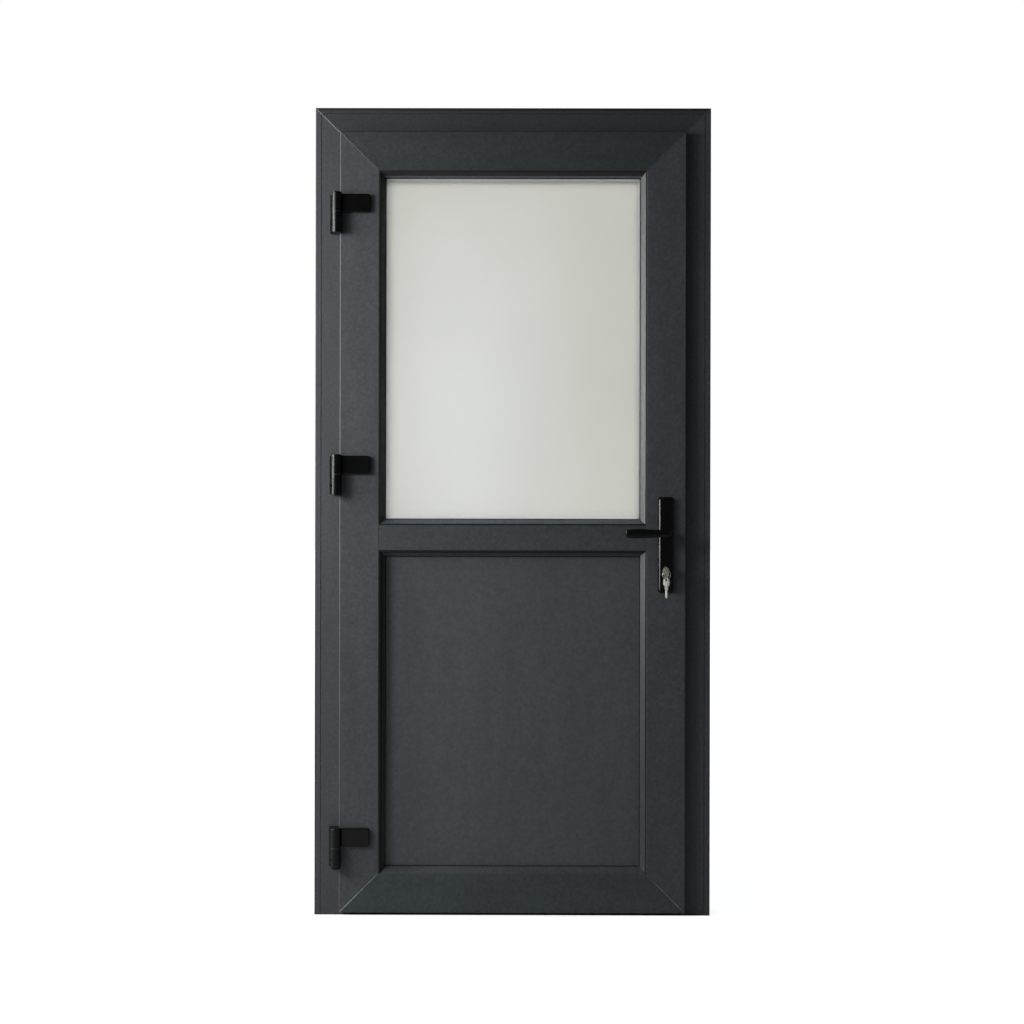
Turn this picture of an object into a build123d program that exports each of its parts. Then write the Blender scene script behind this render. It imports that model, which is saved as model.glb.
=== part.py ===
"""Half-glazed door in its frame: hollow plastic profiles with steel inside, an opal glass unit above
a transom, a plain panel below, three surface hinges, lever handles on long plates, a single-point lock
and a key in its cylinder. Millimetres. X runs right and Z up as the door is seen from its opening side,
which faces -Y. The origin is the middle of the threshold's underside.
"""

import os
from math import cos, radians, sin

from build123d import *

# Outer frame
frame_width = 980.0
frame_height = 2000.0
frame_depth = 70.0
frame_face = 63.0  # width of frame that shows beside the sash
stop_reach = 19.0  # the stop leg behind the sash, past the frame's body
stop_thickness = 14.0
frame_outer_wall = 3.0
frame_web = 2.0
frame_side_cell = 11.0  # small chamber beside the steel, against the wall opening
frame_front_cell = 6.0
frame_steel_depth = 34.0  # depth of the chamber that holds the steel
frame_groove_inset = 14.0  # fine groove along the frame's face
frame_groove_width = 1.4
frame_groove_depth = 1.4

# Sash
sash_face = 97.0  # width of a stile's or rail's flat face
sash_depth = 70.0
sash_proud = 18.0  # how far the sash stands in front of the frame
sash_overlap = 8.0  # how far its lip covers the frame
sash_foot = 10.0  # from the floor to the sash
hardware_gap = 12.0  # between the frame's body and the sash's body
lip_thickness = 14.5
glazing_lip_reach = 16.0
glazing_lip_thickness = 23.0
sash_outer_wall = 3.0
sash_web = 2.0
sash_steel_inset = 16.0  # from the sash body's edge to the chamber that holds the steel
sash_steel_width = 54.0
sash_steel_depth = 36.0
sash_front_cell = 14.0
hardware_groove_depth = 3.0
transom_face = 62.0
transom_height = 935.0  # middle of the transom above the floor
weld_groove_width = 1.4
weld_groove_depth = 0.6
edge_round = 2.5
small_round = 1.0

# Threshold
threshold_wall = 2.0
threshold_nose = 8.0  # sloped front edge

# Steel reinforcement
steel_wall = 1.5
steel_gap = 0.3
steel_end_gap = 6.0

# Seals
stem_width = 3.0
stem_depth = 3.0
bulb_width = 6.0
seal_gap = 0.3  # between a closed door's seal and the face it meets
lip_seal_inset = 3.0  # from the sash's outer edge to its seal
stop_seal_inset = 3.0  # from the stop's edge to its seal

# Infill and glazing beads
unit_thickness = 24.0
pane_thickness = 4.0
spacer_width = 12.0
edge_gap = 3.0  # between the infill's edge and the rebate
glazing_seal = 3.0
bead_width = 14.0
bead_step = 0.5  # the bead lies this far behind the sash's face
bead_flat = 3.0
bead_nose = 3.0
bead_foot_depth = 4.0
bead_foot_width = 4.4
bead_slot_play = 0.3
bead_slot_inset = 6.0  # from the bead's front to its foot
bead_foot_trim = 10.0
block_length = 100.0
block_place = 200.0

# Hinges
hinge_foot = 197.0  # bottom hinge above the floor
hinge_drop = 242.0  # top hinge below the frame's top
hinge_rise = 114.0  # middle hinge above the frame's middle
hinge_names = ("bottom", "middle", "top")
hinge_out = 6.0  # pin's axis outside the sash's edge
hinge_proud = 12.0  # pin's axis in front of the sash's face
knuckle_radius = 12.5
sash_knuckle_height = 45.0
frame_knuckle_height = 48.0
pin_radius = 6.0
pin_end = 3.0
running_gap = 0.05
bush_wall = 2.0
bush_flange = 1.5
cap_height = 3.0
cap_round = 1.8
leaf_thickness = 5.0
leaf_reach = 80.0
leaf_margin = 2.0
cover_start = 13.0
cover_thickness = 9.0
cover_gap = 0.2
frame_leaf_width = 22.0
frame_leaf_side = 3.0  # gap from the frame leaf to the sash's edge
frame_leaf_thickness = 15.0
bridge_width = 10.0
leaf_screw_places = (22.0, 46.0, 70.0)  # along the sash leaf from the pin's axis
frame_screw_side = 5.5  # from the frame leaf's outer edge
frame_screw_drops = (-12.0, 20.0, 52.0)

# Screws
screw_radius = 2.3
screw_head_radius = 4.2
screw_head_height = 2.4
screw_length = 34.0
lock_screw_length = 18.0
screw_gap = 0.05
recess_width = 1.0
recess_reach = 4.6
recess_depth = 1.4

# Handles
handle_backset = 30.0  # from the lock's face to the handle's axis
handle_height = 947.0
cylinder_drop = 92.0  # from the spindle down to the cylinder
plate_width = 34.0
plate_above = 87.0  # plate's top above the spindle
plate_below = 145.0
plate_thickness = 9.0
plate_wall = 2.0
plate_corner = 7.0
plate_bevel = 2.5
plate_screw_inset = 14.0
plate_screw_radius = 2.5
plate_post_radius = 5.0
neck_radius = 9.0
neck_play = 0.3
neck_length = 36.0
grip_length = 103.0
grip_height = 22.0
grip_thickness = 12.0
grip_round = 5.0
grip_end_round = 4.5
spindle_width = 8.0
spindle_play = 0.05
spindle_bite = 23.0
spindle_bore = 10.0

# Lock
lock_setback = 20.0  # lock's middle behind the glass unit's front
case_thickness = 15.0
case_wall = 1.5
case_behind = 22.0  # case behind the handle's axis
case_above = 43.0  # case above the spindle
case_below = 31.0  # case below the cylinder's axis
case_play = 0.5
faceplate_width = 16.0
faceplate_length = 240.0
faceplate_drop = 11.0  # faceplate's middle below the handle plates' middle
faceplate_round = 7.0
faceplate_screw_inset = 10.0
follower_radius = 11.0
follower_arm_reach = 20.0
follower_arm_width = 6.0
inner_play = 0.5
latch_height = 24.0
latch_rise = 22.0  # latch's middle above the spindle
latch_throw = 10.0
latch_bevel = 8.0
latch_root = 13.0
latch_flat = 2.0  # flat left at the latch's tip
hook_thickness = 4.0
hook_play = 3.0
hook_rise = 14.5  # hook's foot above the spindle
hook_drop = 5.0  # hook's top below the latch's top
tail_thickness = 3.0  # flat tails of the latch and the bolt
bolt_height = 26.0
bolt_drop = 49.0  # bolt's middle below the spindle
bolt_thickness = 9.0
bolt_throw = 20.0
bolt_tail = 28.0
keep_thickness = 3.0
keep_width = 25.0
keep_play = 1.0
keep_corner = 3.0

# Cylinder and keys
cylinder_front = 50.0
cylinder_back = 40.0
cylinder_radius = 8.5
cylinder_fin = 10.0
fin_round = 4.0
cylinder_tall = 33.0
cam_radius = 14.5
cam_width = 9.5
cam_gap = 10.2
cam_finger = 8.0
cam_rim = 1.5  # cam's round part outside the plug
bridge_height = 9.7
cylinder_hole_play = 0.4
plug_radius = 6.5
cylinder_screw_drop = 19.5
cylinder_screw_radius = 2.5
cylinder_screw_bite = 3.0  # past the cylinder's middle
keyway_width = 2.6
keyway_height = 9.0
key_thickness = 2.4
key_lean = 20.0  # degrees that the key stands turned, its top towards the hinges
key_blade = 28.0
key_blade_height = 8.4
key_play = 1.0  # from the blade's tip to the keyway's end, twice
key_shoulder = 1.5  # neck past the blade, each side
key_overlap = 1.0
key_notches = 4
key_notch_start = 3.0
key_notch_pitch = 4.6
key_notch_width = 2.2
key_notch_depth = 1.0
key_bow_radius = 13.0
key_bow_thickness = 3.2
key_bow_out = 16.0  # bow's middle in front of the cylinder
key_hole_radius = 4.0
key_hole_out = 6.5
key_hole_rise = 3.5
ring_radius = 10.5
ring_wire = 1.1
ring_turn = 20.0  # degrees from the door's plane
ring_rest_gap = 1.65
spare_bow_radius = 12.0
spare_hole_margin = 2.5
spare_rest_gap = 0.4
spare_turn = -60.0  # degrees from the door's plane
spare_neck = 6.0

# Fixing holes for the wall
fixing_radius = 4.0
fixing_end = 200.0
fixing_pitch = 530.0
head_fixing_place = 300.0

# Places that follow from the sizes above
hinge_heights = (hinge_foot, frame_height / 2 + hinge_rise, frame_height - hinge_drop)
plate_top = handle_height + plate_above
plate_bottom = handle_height - plate_below
half = frame_width / 2
front = -frame_depth / 2
back = frame_depth / 2
body_width = frame_face + sash_overlap
stop_front = back - stop_thickness
sash_half = half - frame_face
sash_top = frame_height - frame_face
sash_front = front - sash_proud
sash_back = sash_front + sash_depth
lip_reach = sash_overlap + hardware_gap
lip_back = sash_front + lip_thickness
sash_total = sash_face + glazing_lip_reach
seat = sash_back - glazing_lip_thickness
unit_back = seat - glazing_seal
unit_front = unit_back - unit_thickness
bead_back = unit_front - glazing_seal
bead_front = sash_front + bead_step
opening_half = sash_half - sash_face
sash_edge = sash_half - lip_reach
transom_low = transom_height - transom_face / 2
transom_high = transom_height + transom_face / 2
glass_low = transom_high
glass_high = sash_top - sash_face
panel_low = sash_foot + sash_face
panel_high = transom_low
threshold_top = sash_foot + sash_overlap
threshold_stop = threshold_top + stop_reach
jamb_inside = half - body_width
stop_inside = jamb_inside - stop_reach
hinge_x = -sash_half - hinge_out
hinge_y = sash_front - hinge_proud
handle_x = sash_edge - handle_backset
cylinder_height = handle_height - cylinder_drop
lock_middle = unit_front + lock_setback
case_front = lock_middle - case_thickness / 2
case_back = lock_middle + case_thickness / 2
keep_mouth = (case_front - keep_play + case_wall, case_back + keep_play - case_wall)
case_left = handle_x - case_behind
case_right = sash_edge - hardware_groove_depth
case_low = cylinder_height - case_below
case_high = handle_height + case_above
faceplate_middle = (plate_top + plate_bottom) / 2 - faceplate_drop
faceplate_low = faceplate_middle - faceplate_length / 2
faceplate_high = faceplate_middle + faceplate_length / 2
steel_front = sash_front + sash_outer_wall + sash_front_cell + sash_web
frame_steel_front = front + frame_outer_wall + frame_front_cell + frame_web
front_plate_face = sash_front - plate_thickness
back_plate_face = sash_back + plate_thickness
key_axis_y = lock_middle - cylinder_front
key_place = Pos(handle_x, 0, cylinder_height) * Rot(0, -key_lean, 0)
key_hole_y = key_axis_y - key_bow_out - key_hole_out
key_hole_x = handle_x - key_hole_rise * sin(radians(key_lean))
key_hole_z = cylinder_height + key_hole_rise * cos(radians(key_lean))
ring_top = key_hole_z - key_hole_radius + ring_wire + ring_rest_gap
ring_middle = ring_top - ring_radius
spare_hole_z = ring_middle - ring_radius - key_hole_radius + ring_wire + spare_rest_gap
spare_bow_z = spare_hole_z + key_hole_radius + spare_hole_margin - spare_bow_radius
reach = 400.0  # longer than any profile is broad
clear = 100.0  # longer than any local cut has to be

nodes = {}


def box(x0, x1, y0, y1, z0, z1):
    """A block between two corners."""
    middle = ((x0 + x1) / 2, (y0 + y1) / 2, (z0 + z1) / 2)
    return Pos(*middle) * Box(x1 - x0, y1 - y0, z1 - z0)


def disc_x(x0, x1, y, z, radius):
    """A cylinder along X."""
    return Pos((x0 + x1) / 2, y, z) * Rot(0, 90, 0) * Cylinder(radius, x1 - x0)


def disc_y(x, y0, y1, z, radius):
    """A cylinder along Y."""
    return Pos(x, (y0 + y1) / 2, z) * Rot(90, 0, 0) * Cylinder(radius, y1 - y0)


def disc_z(x, y, z0, z1, radius):
    """A cylinder along Z."""
    return Pos(x, y, (z0 + z1) / 2) * Cylinder(radius, z1 - z0)


def group(pieces):
    """Separate solids that share one node."""
    return Compound(children=[solid for piece in pieces for solid in piece.solids()])


def mirrored(piece):
    """The same piece on the door's other side."""
    return piece.mirror(Plane.YZ)


def edges_along(piece, axis):
    """The straight edges that run along an axis."""
    return piece.edges().filter_by(axis)


def section(corners, cells=()):
    """A profile's section from its corners (across, deep, round) and its chambers' corners."""
    face = make_face(Polyline(*[(u, y) for u, y, _ in corners], close=True))
    for size in sorted({r for _, _, r in corners if r > 0}):
        wanted = [(u, y) for u, y, r in corners if r == size]
        found = [
            v for v in face.vertices()
            if any(abs(v.X - u) + abs(v.Y - y) < 1e-6 for u, y in wanted)
        ]
        face = fillet(found, size)
    for u0, u1, y0, y1 in cells:
        face -= Pos((u0 + u1) / 2, (y0 + y1) / 2) * Rectangle(u1 - u0, y1 - y0)
    return face


def bar(profile, length, width, start_mitre=True, end_mitre=True):
    """A profile run up Z with its outer edge at X = 0, its ends mitred or square."""
    run = extrude(profile, length)
    start = width if start_mitre else -1
    end = length - width if end_mitre else length + 1
    first = -1
    last = length + 1
    corners = [(-1, 0, first), (width, 0, start), (width, 0, end), (-1, 0, last)]
    trim = make_face(Polyline(*corners, close=True))
    return run & extrude(trim, amount=reach, dir=(0, 1, 0), both=True)


def weld_grooves(length, width, faces, start_mitre=True, end_mitre=True):
    """The fine grooves cut along a welded corner, at a bar's two ends."""
    cut = []
    for y in faces:
        tool = Box(weld_groove_width, 2 * weld_groove_depth, 2 * width)
        if start_mitre:
            cut.append(Pos(width / 2, y, width / 2) * Rot(0, 45, 0) * tool)
        if end_mitre:
            cut.append(Pos(width / 2, y, length - width / 2) * Rot(0, -45, 0) * tool)
    return cut


def place(piece, side, wide, low, high):
    """A bar set on one side of a rectangle that is 2 x wide broad and runs from low to high."""
    if side == "left":
        return Pos(-wide, 0, low) * piece
    if side == "right":
        return mirrored(Pos(-wide, 0, low) * piece)
    if side == "top":
        return Pos(-wide, 0, high) * Rot(0, 90, 0) * piece
    return Pos(wide, 0, low) * Rot(0, -90, 0) * piece


def ring(wide, low, high, band, y0, y1):
    """A rectangular ring, band broad inwards from its outer edge."""
    outer = box(-wide, wide, y0, y1, low, high)
    return outer - box(-wide + band, wide - band, y0 - 1, y1 + 1, low + band, high - band)


def countersunk(length, shank=screw_radius, head=screw_head_radius, gap=0.0):
    """A countersunk screw, or the hole for one, pointing down from its head's top at the origin."""
    cone = Pos(0, 0, -screw_head_height / 2) * Cone(shank + gap, head + gap, screw_head_height)
    screw = cone + Pos(0, 0, -length / 2) * Cylinder(shank + gap, length)
    if gap:
        return screw + Pos(0, 0, clear / 2) * Cylinder(head + gap, clear)
    level = Box(recess_reach, recess_width, 2 * recess_depth)
    upright = Box(recess_width, recess_reach, 2 * recess_depth)
    return screw - level - upright


def facing(piece, direction, x, y, z):
    """A screw turned so that it points along +Y, -Y, +X or -X."""
    turn = {"+Y": Rot(90, 0, 0), "-Y": Rot(-90, 0, 0), "-X": Rot(0, 90, 0), "+X": Rot(0, -90, 0)}
    return Pos(x, y, z) * turn[direction] * piece


def cut_all(piece, tools):
    """A piece less each of the tools."""
    for tool in tools:
        piece -= tool
    return piece


# Screws and holes that several pieces share
leaf_face = sash_front - leaf_thickness
frame_leaf_face = front - frame_leaf_thickness
frame_leaf_right = -sash_half - frame_leaf_side
frame_leaf_left = frame_leaf_right - frame_leaf_width


def sash_leaf_screws(gap=0.0):
    tool = countersunk(screw_length, gap=gap)
    return [
        facing(tool, "+Y", hinge_x + along, leaf_face, z)
        for z in hinge_heights for along in leaf_screw_places
    ]


def frame_leaf_screws(gap=0.0):
    tool = countersunk(screw_length, gap=gap)
    return [
        facing(tool, "+Y", frame_leaf_left + frame_screw_side, frame_leaf_face, z - drop)
        for z in hinge_heights for drop in frame_screw_drops
    ]


def faceplate_screws(gap=0.0):
    tool = countersunk(lock_screw_length, gap=gap)
    places = (faceplate_low + faceplate_screw_inset, faceplate_high - faceplate_screw_inset)
    return [facing(tool, "-X", sash_edge, lock_middle, z) for z in places]


def latch_span(play=0.0):
    """The latch's lowest and highest level."""
    middle = handle_height + latch_rise
    return middle - latch_height / 2 - play, middle + latch_height / 2 + play


def bolt_span(play=0.0):
    """The dead bolt's lowest and highest level."""
    middle = handle_height - bolt_drop
    return middle - bolt_height / 2 - play, middle + bolt_height / 2 + play


def keep_screws(gap=0.0):
    """Two screws level with the faceplate's, and one between the two bolts."""
    tool = countersunk(lock_screw_length, gap=gap)
    between = (bolt_span()[1] + latch_span()[0]) / 2
    places = (faceplate_low + faceplate_screw_inset, between, faceplate_high - faceplate_screw_inset)
    return [facing(tool, "+X", jamb_inside - keep_thickness, lock_middle, z) for z in places]


def cylinder_screw(gap=0.0):
    tool = countersunk(handle_backset + cylinder_screw_bite, shank=cylinder_screw_radius, gap=gap)
    return facing(tool, "-X", sash_edge, lock_middle, cylinder_height - cylinder_screw_drop)


def plate_screws(gap=0.0):
    length = back_plate_face - front_plate_face - 2 * plate_wall
    tool = countersunk(length, shank=plate_screw_radius, gap=gap)
    places = (plate_bottom + plate_screw_inset, plate_top - plate_screw_inset)
    return [facing(tool, "-Y", handle_x, back_plate_face, z) for z in places]


def fixing_heights():
    """Heights of the fixing holes through each jamb."""
    low = (fixing_end, fixing_end + fixing_pitch)
    return [*low, *(frame_height - z for z in low)]


def jamb_fixings():
    return [disc_x(-half - 1, half + 1, 0, z, fixing_radius) for z in fixing_heights()]


def head_fixings():
    places = (-head_fixing_place, head_fixing_place)
    return [disc_z(x, 0, frame_height - body_width - 1, frame_height + 1, fixing_radius) for x in places]


def euro_outline(play=0.0):
    """The lock cylinder's section: a round above a narrow fin."""
    low = cylinder_tall - cylinder_radius
    fin = Pos(0, -low / 2) * Rectangle(cylinder_fin + 2 * play, low + 2 * play)
    fin = fillet(fin.vertices().group_by(Axis.Y)[0], fin_round)
    return Circle(cylinder_radius + play) + fin


def euro_bar(y0, y1, play=0.0):
    run = extrude(euro_outline(play), y1 - y0)
    return Pos(handle_x, y1, cylinder_height) * Rot(90, 0, 0) * run


# Frame
def frame_section():
    wall, web = frame_outer_wall, frame_web
    steel_back = frame_steel_front + frame_steel_depth
    side = wall + frame_side_cell
    inner = body_width - wall
    steel_right = inner - frame_front_cell - web
    groove = frame_groove_inset
    seal = body_width + stop_reach - stop_seal_inset - bulb_width / 2
    corners = [
        (0, front, edge_round),
        (groove, front, 0),
        (groove, front + frame_groove_depth, 0),
        (groove + frame_groove_width, front + frame_groove_depth, 0),
        (groove + frame_groove_width, front, 0),
        (body_width, front, small_round),
        (body_width, stop_front, 0),
        (seal - stem_width / 2, stop_front, 0),
        (seal - stem_width / 2, stop_front + stem_depth, 0),
        (seal + stem_width / 2, stop_front + stem_depth, 0),
        (seal + stem_width / 2, stop_front, 0),
        (body_width + stop_reach, stop_front, small_round),
        (body_width + stop_reach, back, edge_round),
        (0, back, edge_round),
    ]
    mid = body_width / 2
    cells = [
        (side + web, mid - web, front + wall, frame_steel_front - web),
        (mid, inner, front + wall, frame_steel_front - web),
        (wall, side, frame_steel_front, steel_back),
        (side + web, steel_right, frame_steel_front, steel_back),
        (steel_right + web, inner, frame_steel_front, steel_back),
        (wall, mid - web, steel_back + web, back - wall),
        (mid, inner, steel_back + web, back - wall),
        (body_width - web / 2, seal - stem_width / 2 - web, stop_front + wall, back - wall),
    ]
    return section(corners, cells)


def tube_section(u0, u1, y0, y1):
    """Square steel tube inside a chamber, a little smaller all round."""
    g, t = steel_gap, steel_wall
    outer = [(u0 + g, y0 + g, 0), (u1 - g, y0 + g, 0), (u1 - g, y1 - g, 0), (u0 + g, y1 - g, 0)]
    return section(outer, [(u0 + g + t, u1 - g - t, y0 + g + t, y1 - g - t)])


def frame_steel_section():
    left = frame_outer_wall + frame_side_cell + frame_web
    right = body_width - frame_outer_wall - frame_front_cell - frame_web
    return tube_section(left, right, frame_steel_front, frame_steel_front + frame_steel_depth)


def make_frame():
    width = body_width + stop_reach
    profile = frame_section()
    faces = (front, back)
    jamb = bar(profile, frame_height, width, start_mitre=False)
    jamb = cut_all(jamb, weld_grooves(frame_height, width, faces, start_mitre=False))
    head = bar(profile, frame_width, width)
    head = cut_all(head, weld_grooves(frame_width, width, faces))
    holes = jamb_fixings()
    left = place(jamb, "left", half, 0, frame_height)
    right = place(jamb, "right", half, 0, frame_height)
    nodes["frame_hinge_jamb"] = cut_all(left, holes + frame_leaf_screws(screw_gap))
    nodes["frame_lock_jamb"] = cut_all(right, holes + keep_screws(screw_gap) + [bolt_pocket()])
    nodes["frame_head"] = cut_all(place(head, "top", half, 0, frame_height), head_fixings())

    steel = frame_steel_section()
    upright = extrude(steel, frame_height - width - 2 * steel_end_gap)
    across = extrude(steel, frame_width - 2 * width - 2 * steel_end_gap)
    left = place(Pos(0, 0, steel_end_gap) * upright, "left", half, 0, frame_height)
    right = place(Pos(0, 0, steel_end_gap) * upright, "right", half, 0, frame_height)
    top = place(Pos(0, 0, width + steel_end_gap) * across, "top", half, 0, frame_height)
    nodes["frame_reinforcement"] = group([
        cut_all(left, holes + frame_leaf_screws(screw_gap)),
        cut_all(right, holes + keep_screws(screw_gap)),
        cut_all(top, head_fixings()),
    ])


def bolt_pocket():
    """The hole in the lock jamb's wall that the bolt runs into."""
    depth = sash_edge + bolt_throw + keep_play
    return box(jamb_inside - 1, depth, *keep_mouth, *bolt_span(keep_play))


def make_threshold():
    """The low profile under the door, its section drawn with X as depth and Y as height."""
    top, stop, t = threshold_top, threshold_stop, threshold_wall
    corners = [
        (front, 0, 0),
        (back, 0, 0),
        (back, stop, small_round),
        (stop_front, stop, small_round),
        (stop_front, top, 0),
        (front + threshold_nose, top, small_round),
        (front, top - threshold_nose, small_round),
    ]
    middle = (front + stop_front) / 2
    cells = [
        (front + threshold_nose + t / 2, middle - t / 2, t, top - t),
        (middle + t / 2, stop_front - t / 2, t, top - t),
        (stop_front + t, back - t, t, top - t),
    ]
    seal = stop - stop_seal_inset - bulb_width / 2
    end = Plane(origin=(-jamb_inside, 0, 0), x_dir=(0, 1, 0), z_dir=(1, 0, 0))
    run = extrude(end * section(corners, cells), 2 * jamb_inside, dir=(1, 0, 0))
    run -= box(-jamb_inside, jamb_inside, stop_front - 1, stop_front + stem_depth, seal - stem_width / 2,
               seal + stem_width / 2)
    for left, right in ((-jamb_inside - 1, -stop_inside), (stop_inside, jamb_inside + 1)):
        run -= box(left, right, stop_front, back + 1, -1, stop + 1)
    nodes["threshold"] = run


def seal_parts(wide, low, high, face, gap, side):
    """A seal all round: the stem in its groove and the bulb in front of the face, gap tall.
    The bulb stands off towards -Y where side is 1 and towards +Y where it is -1."""
    stem_y = sorted((face, face + side * stem_depth))
    bulb_y = sorted((face, face - side * gap))
    inset = (bulb_width - stem_width) / 2
    stem = ring(wide - inset, low + inset, high - inset, stem_width, *stem_y)
    return stem, ring(wide, low, high, bulb_width, *bulb_y)


def make_seals():
    inset = lip_seal_inset
    wide, low, high = sash_half - inset, sash_foot + inset, sash_top - inset
    stem, bulb = seal_parts(wide, low, high, lip_back, front - lip_back - seal_gap, -1)
    nodes["sash_seal"] = stem + bulb
    inset = stop_seal_inset + bulb_width
    wide, low = stop_inside + inset, threshold_stop - inset
    high = frame_height - body_width - stop_reach + inset
    stem, bulb = seal_parts(wide, low, high, stop_front, stop_front - sash_back - seal_gap, 1)
    nodes["frame_seal"] = stem + bulb
    for name in ("frame_hinge_jamb", "frame_lock_jamb", "threshold"):
        nodes[name] -= stem


# Sash
def sash_section():
    wall, web = sash_outer_wall, sash_web
    steel_left = lip_reach + sash_steel_inset
    steel_right = steel_left + sash_steel_width
    steel_back = steel_front + sash_steel_depth
    groove0 = lock_middle - faceplate_width / 2
    groove1 = lock_middle + faceplate_width / 2
    seal = lip_seal_inset + bulb_width / 2
    slot0 = bead_front + bead_slot_inset - bead_slot_play
    slot1 = bead_front + bead_slot_inset + bead_foot_width + bead_slot_play
    slot = sash_face - bead_foot_depth - bead_slot_play
    corners = [
        (0, sash_front, edge_round),
        (sash_face, sash_front, small_round),
        (sash_face, slot0, 0),
        (slot, slot0, 0),
        (slot, slot1, 0),
        (sash_face, slot1, 0),
        (sash_face, seat, 0),
        (sash_total, seat, small_round),
        (sash_total, sash_back, edge_round),
        (lip_reach, sash_back, edge_round),
        (lip_reach, groove1, 0),
        (lip_reach + hardware_groove_depth, groove1, 0),
        (lip_reach + hardware_groove_depth, groove0, 0),
        (lip_reach, groove0, 0),
        (lip_reach, lip_back, 0),
        (seal + stem_width / 2, lip_back, 0),
        (seal + stem_width / 2, lip_back - stem_depth, 0),
        (seal - stem_width / 2, lip_back - stem_depth, 0),
        (seal - stem_width / 2, lip_back, 0),
        (0, lip_back, small_round),
    ]
    mid = (steel_left + steel_right) / 2
    cell_front = sash_front + wall
    side = lip_reach + hardware_groove_depth + wall
    cells = [
        (side, mid - web, cell_front, steel_front - web),
        (mid, slot - web, cell_front, steel_front - web),
        (side, steel_left - web, steel_front, steel_back),
        (steel_left, steel_right, steel_front, steel_back),
        (side, mid - web, steel_back + web, sash_back - wall),
        (mid, sash_face - web, steel_back + web, sash_back - wall),
        (sash_face, sash_total - wall, seat + wall, sash_back - wall),
    ]
    return section(corners, cells)


def sash_steel_section():
    left = lip_reach + sash_steel_inset
    return tube_section(left, left + sash_steel_width, steel_front, steel_front + sash_steel_depth)


def transom_sections():
    """The transom's front part and the part behind the infill, each across X = height and Y = depth."""
    wall, web = sash_outer_wall, sash_web
    slot0 = bead_front + bead_slot_inset - bead_slot_play
    slot1 = bead_front + bead_slot_inset + bead_foot_width + bead_slot_play
    slot = bead_foot_depth + bead_slot_play
    low, high = transom_low, transom_high
    corners = [
        (low, sash_front, small_round),
        (high, sash_front, small_round),
        (high, slot0, 0),
        (high - slot, slot0, 0),
        (high - slot, slot1, 0),
        (high, slot1, 0),
        (high, seat, 0),
        (low, seat, 0),
        (low, slot1, 0),
        (low + slot, slot1, 0),
        (low + slot, slot0, 0),
        (low, slot0, 0),
    ]
    cell = slot + web
    cells = [
        (low + cell, high - cell, sash_front + wall, steel_front - web),
        (low + cell, high - cell, steel_front, seat - web),
    ]
    rear = [
        (low - glazing_lip_reach, seat, small_round),
        (high + glazing_lip_reach, seat, small_round),
        (high + glazing_lip_reach, sash_back, edge_round),
        (low - glazing_lip_reach, sash_back, edge_round),
    ]
    rear_cells = [
        (low - glazing_lip_reach + wall, low, seat + wall, sash_back - wall),
        (low + web, high - web, seat + wall, sash_back - wall),
        (high, high + glazing_lip_reach - wall, seat + wall, sash_back - wall),
    ]
    steel = tube_section(low + cell, high - cell, steel_front, seat - web)
    return section(corners, cells), section(rear, rear_cells), steel


def across(profile, wide):
    """A section drawn with X as height, run from -wide to +wide along the door."""
    run = extrude(profile, 2 * wide)
    return Pos(wide, 0, 0) * Rot(0, -90, 0) * run


def make_sash():
    profile = sash_section()
    faces = (sash_front, sash_back)
    tall = sash_top - sash_foot
    stile = cut_all(bar(profile, tall, sash_total), weld_grooves(tall, sash_total, faces))
    rail = cut_all(bar(profile, 2 * sash_half, sash_total), weld_grooves(2 * sash_half, sash_total, faces))
    where = (sash_half, sash_foot, sash_top)
    hinge_stile = place(stile, "left", *where)
    lock_stile = place(stile, "right", *where)
    case_pocket = box(
        case_left - case_play, sash_edge, case_front - case_play, case_back + case_play,
        case_low - case_play, case_high + case_play,
    )
    through = [
        case_pocket,
        disc_y(handle_x, sash_front - 1, sash_back + 1, handle_height, spindle_bore),
        euro_bar(sash_front - 1, sash_back + 1, cylinder_hole_play),
    ] + plate_screws(screw_gap) + faceplate_screws(screw_gap)
    nodes["sash_hinge_stile"] = cut_all(hinge_stile, sash_leaf_screws(screw_gap))
    nodes["sash_lock_stile"] = cut_all(lock_stile, through)
    nodes["sash_top_rail"] = place(rail, "top", *where)
    nodes["sash_bottom_rail"] = place(rail, "bottom", *where)

    front_part, rear_part, steel = transom_sections()
    rear_half = opening_half - glazing_lip_reach
    nodes["sash_transom"] = across(front_part, opening_half) + across(rear_part, rear_half)

    tube = sash_steel_section()
    ends = sash_total + steel_end_gap
    upright = Pos(0, 0, ends) * extrude(tube, tall - 2 * ends)
    level = Pos(0, 0, ends) * extrude(tube, 2 * sash_half - 2 * ends)
    nodes["sash_reinforcement"] = group([
        cut_all(place(upright, "left", *where), sash_leaf_screws(screw_gap)),
        cut_all(place(upright, "right", *where), through),
        place(level, "top", *where),
        place(level, "bottom", *where),
        across(steel, opening_half - steel_end_gap),
    ])


# Infill
def bead(length):
    """A glazing bead with mitred ends, its back against the rebate at X = 0, run up Z."""
    corners = [
        (0, bead_front, 0),
        (bead_flat, bead_front, small_round),
        (bead_width, bead_back - bead_nose, small_round),
        (bead_width, bead_back, 0),
        (0, bead_back, 0),
    ]
    body = bar(section(corners), length, bead_width)
    foot0 = bead_front + bead_slot_inset
    foot = box(-bead_foot_depth, 0, foot0, foot0 + bead_foot_width, bead_foot_trim, length - bead_foot_trim)
    return body + foot


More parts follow.
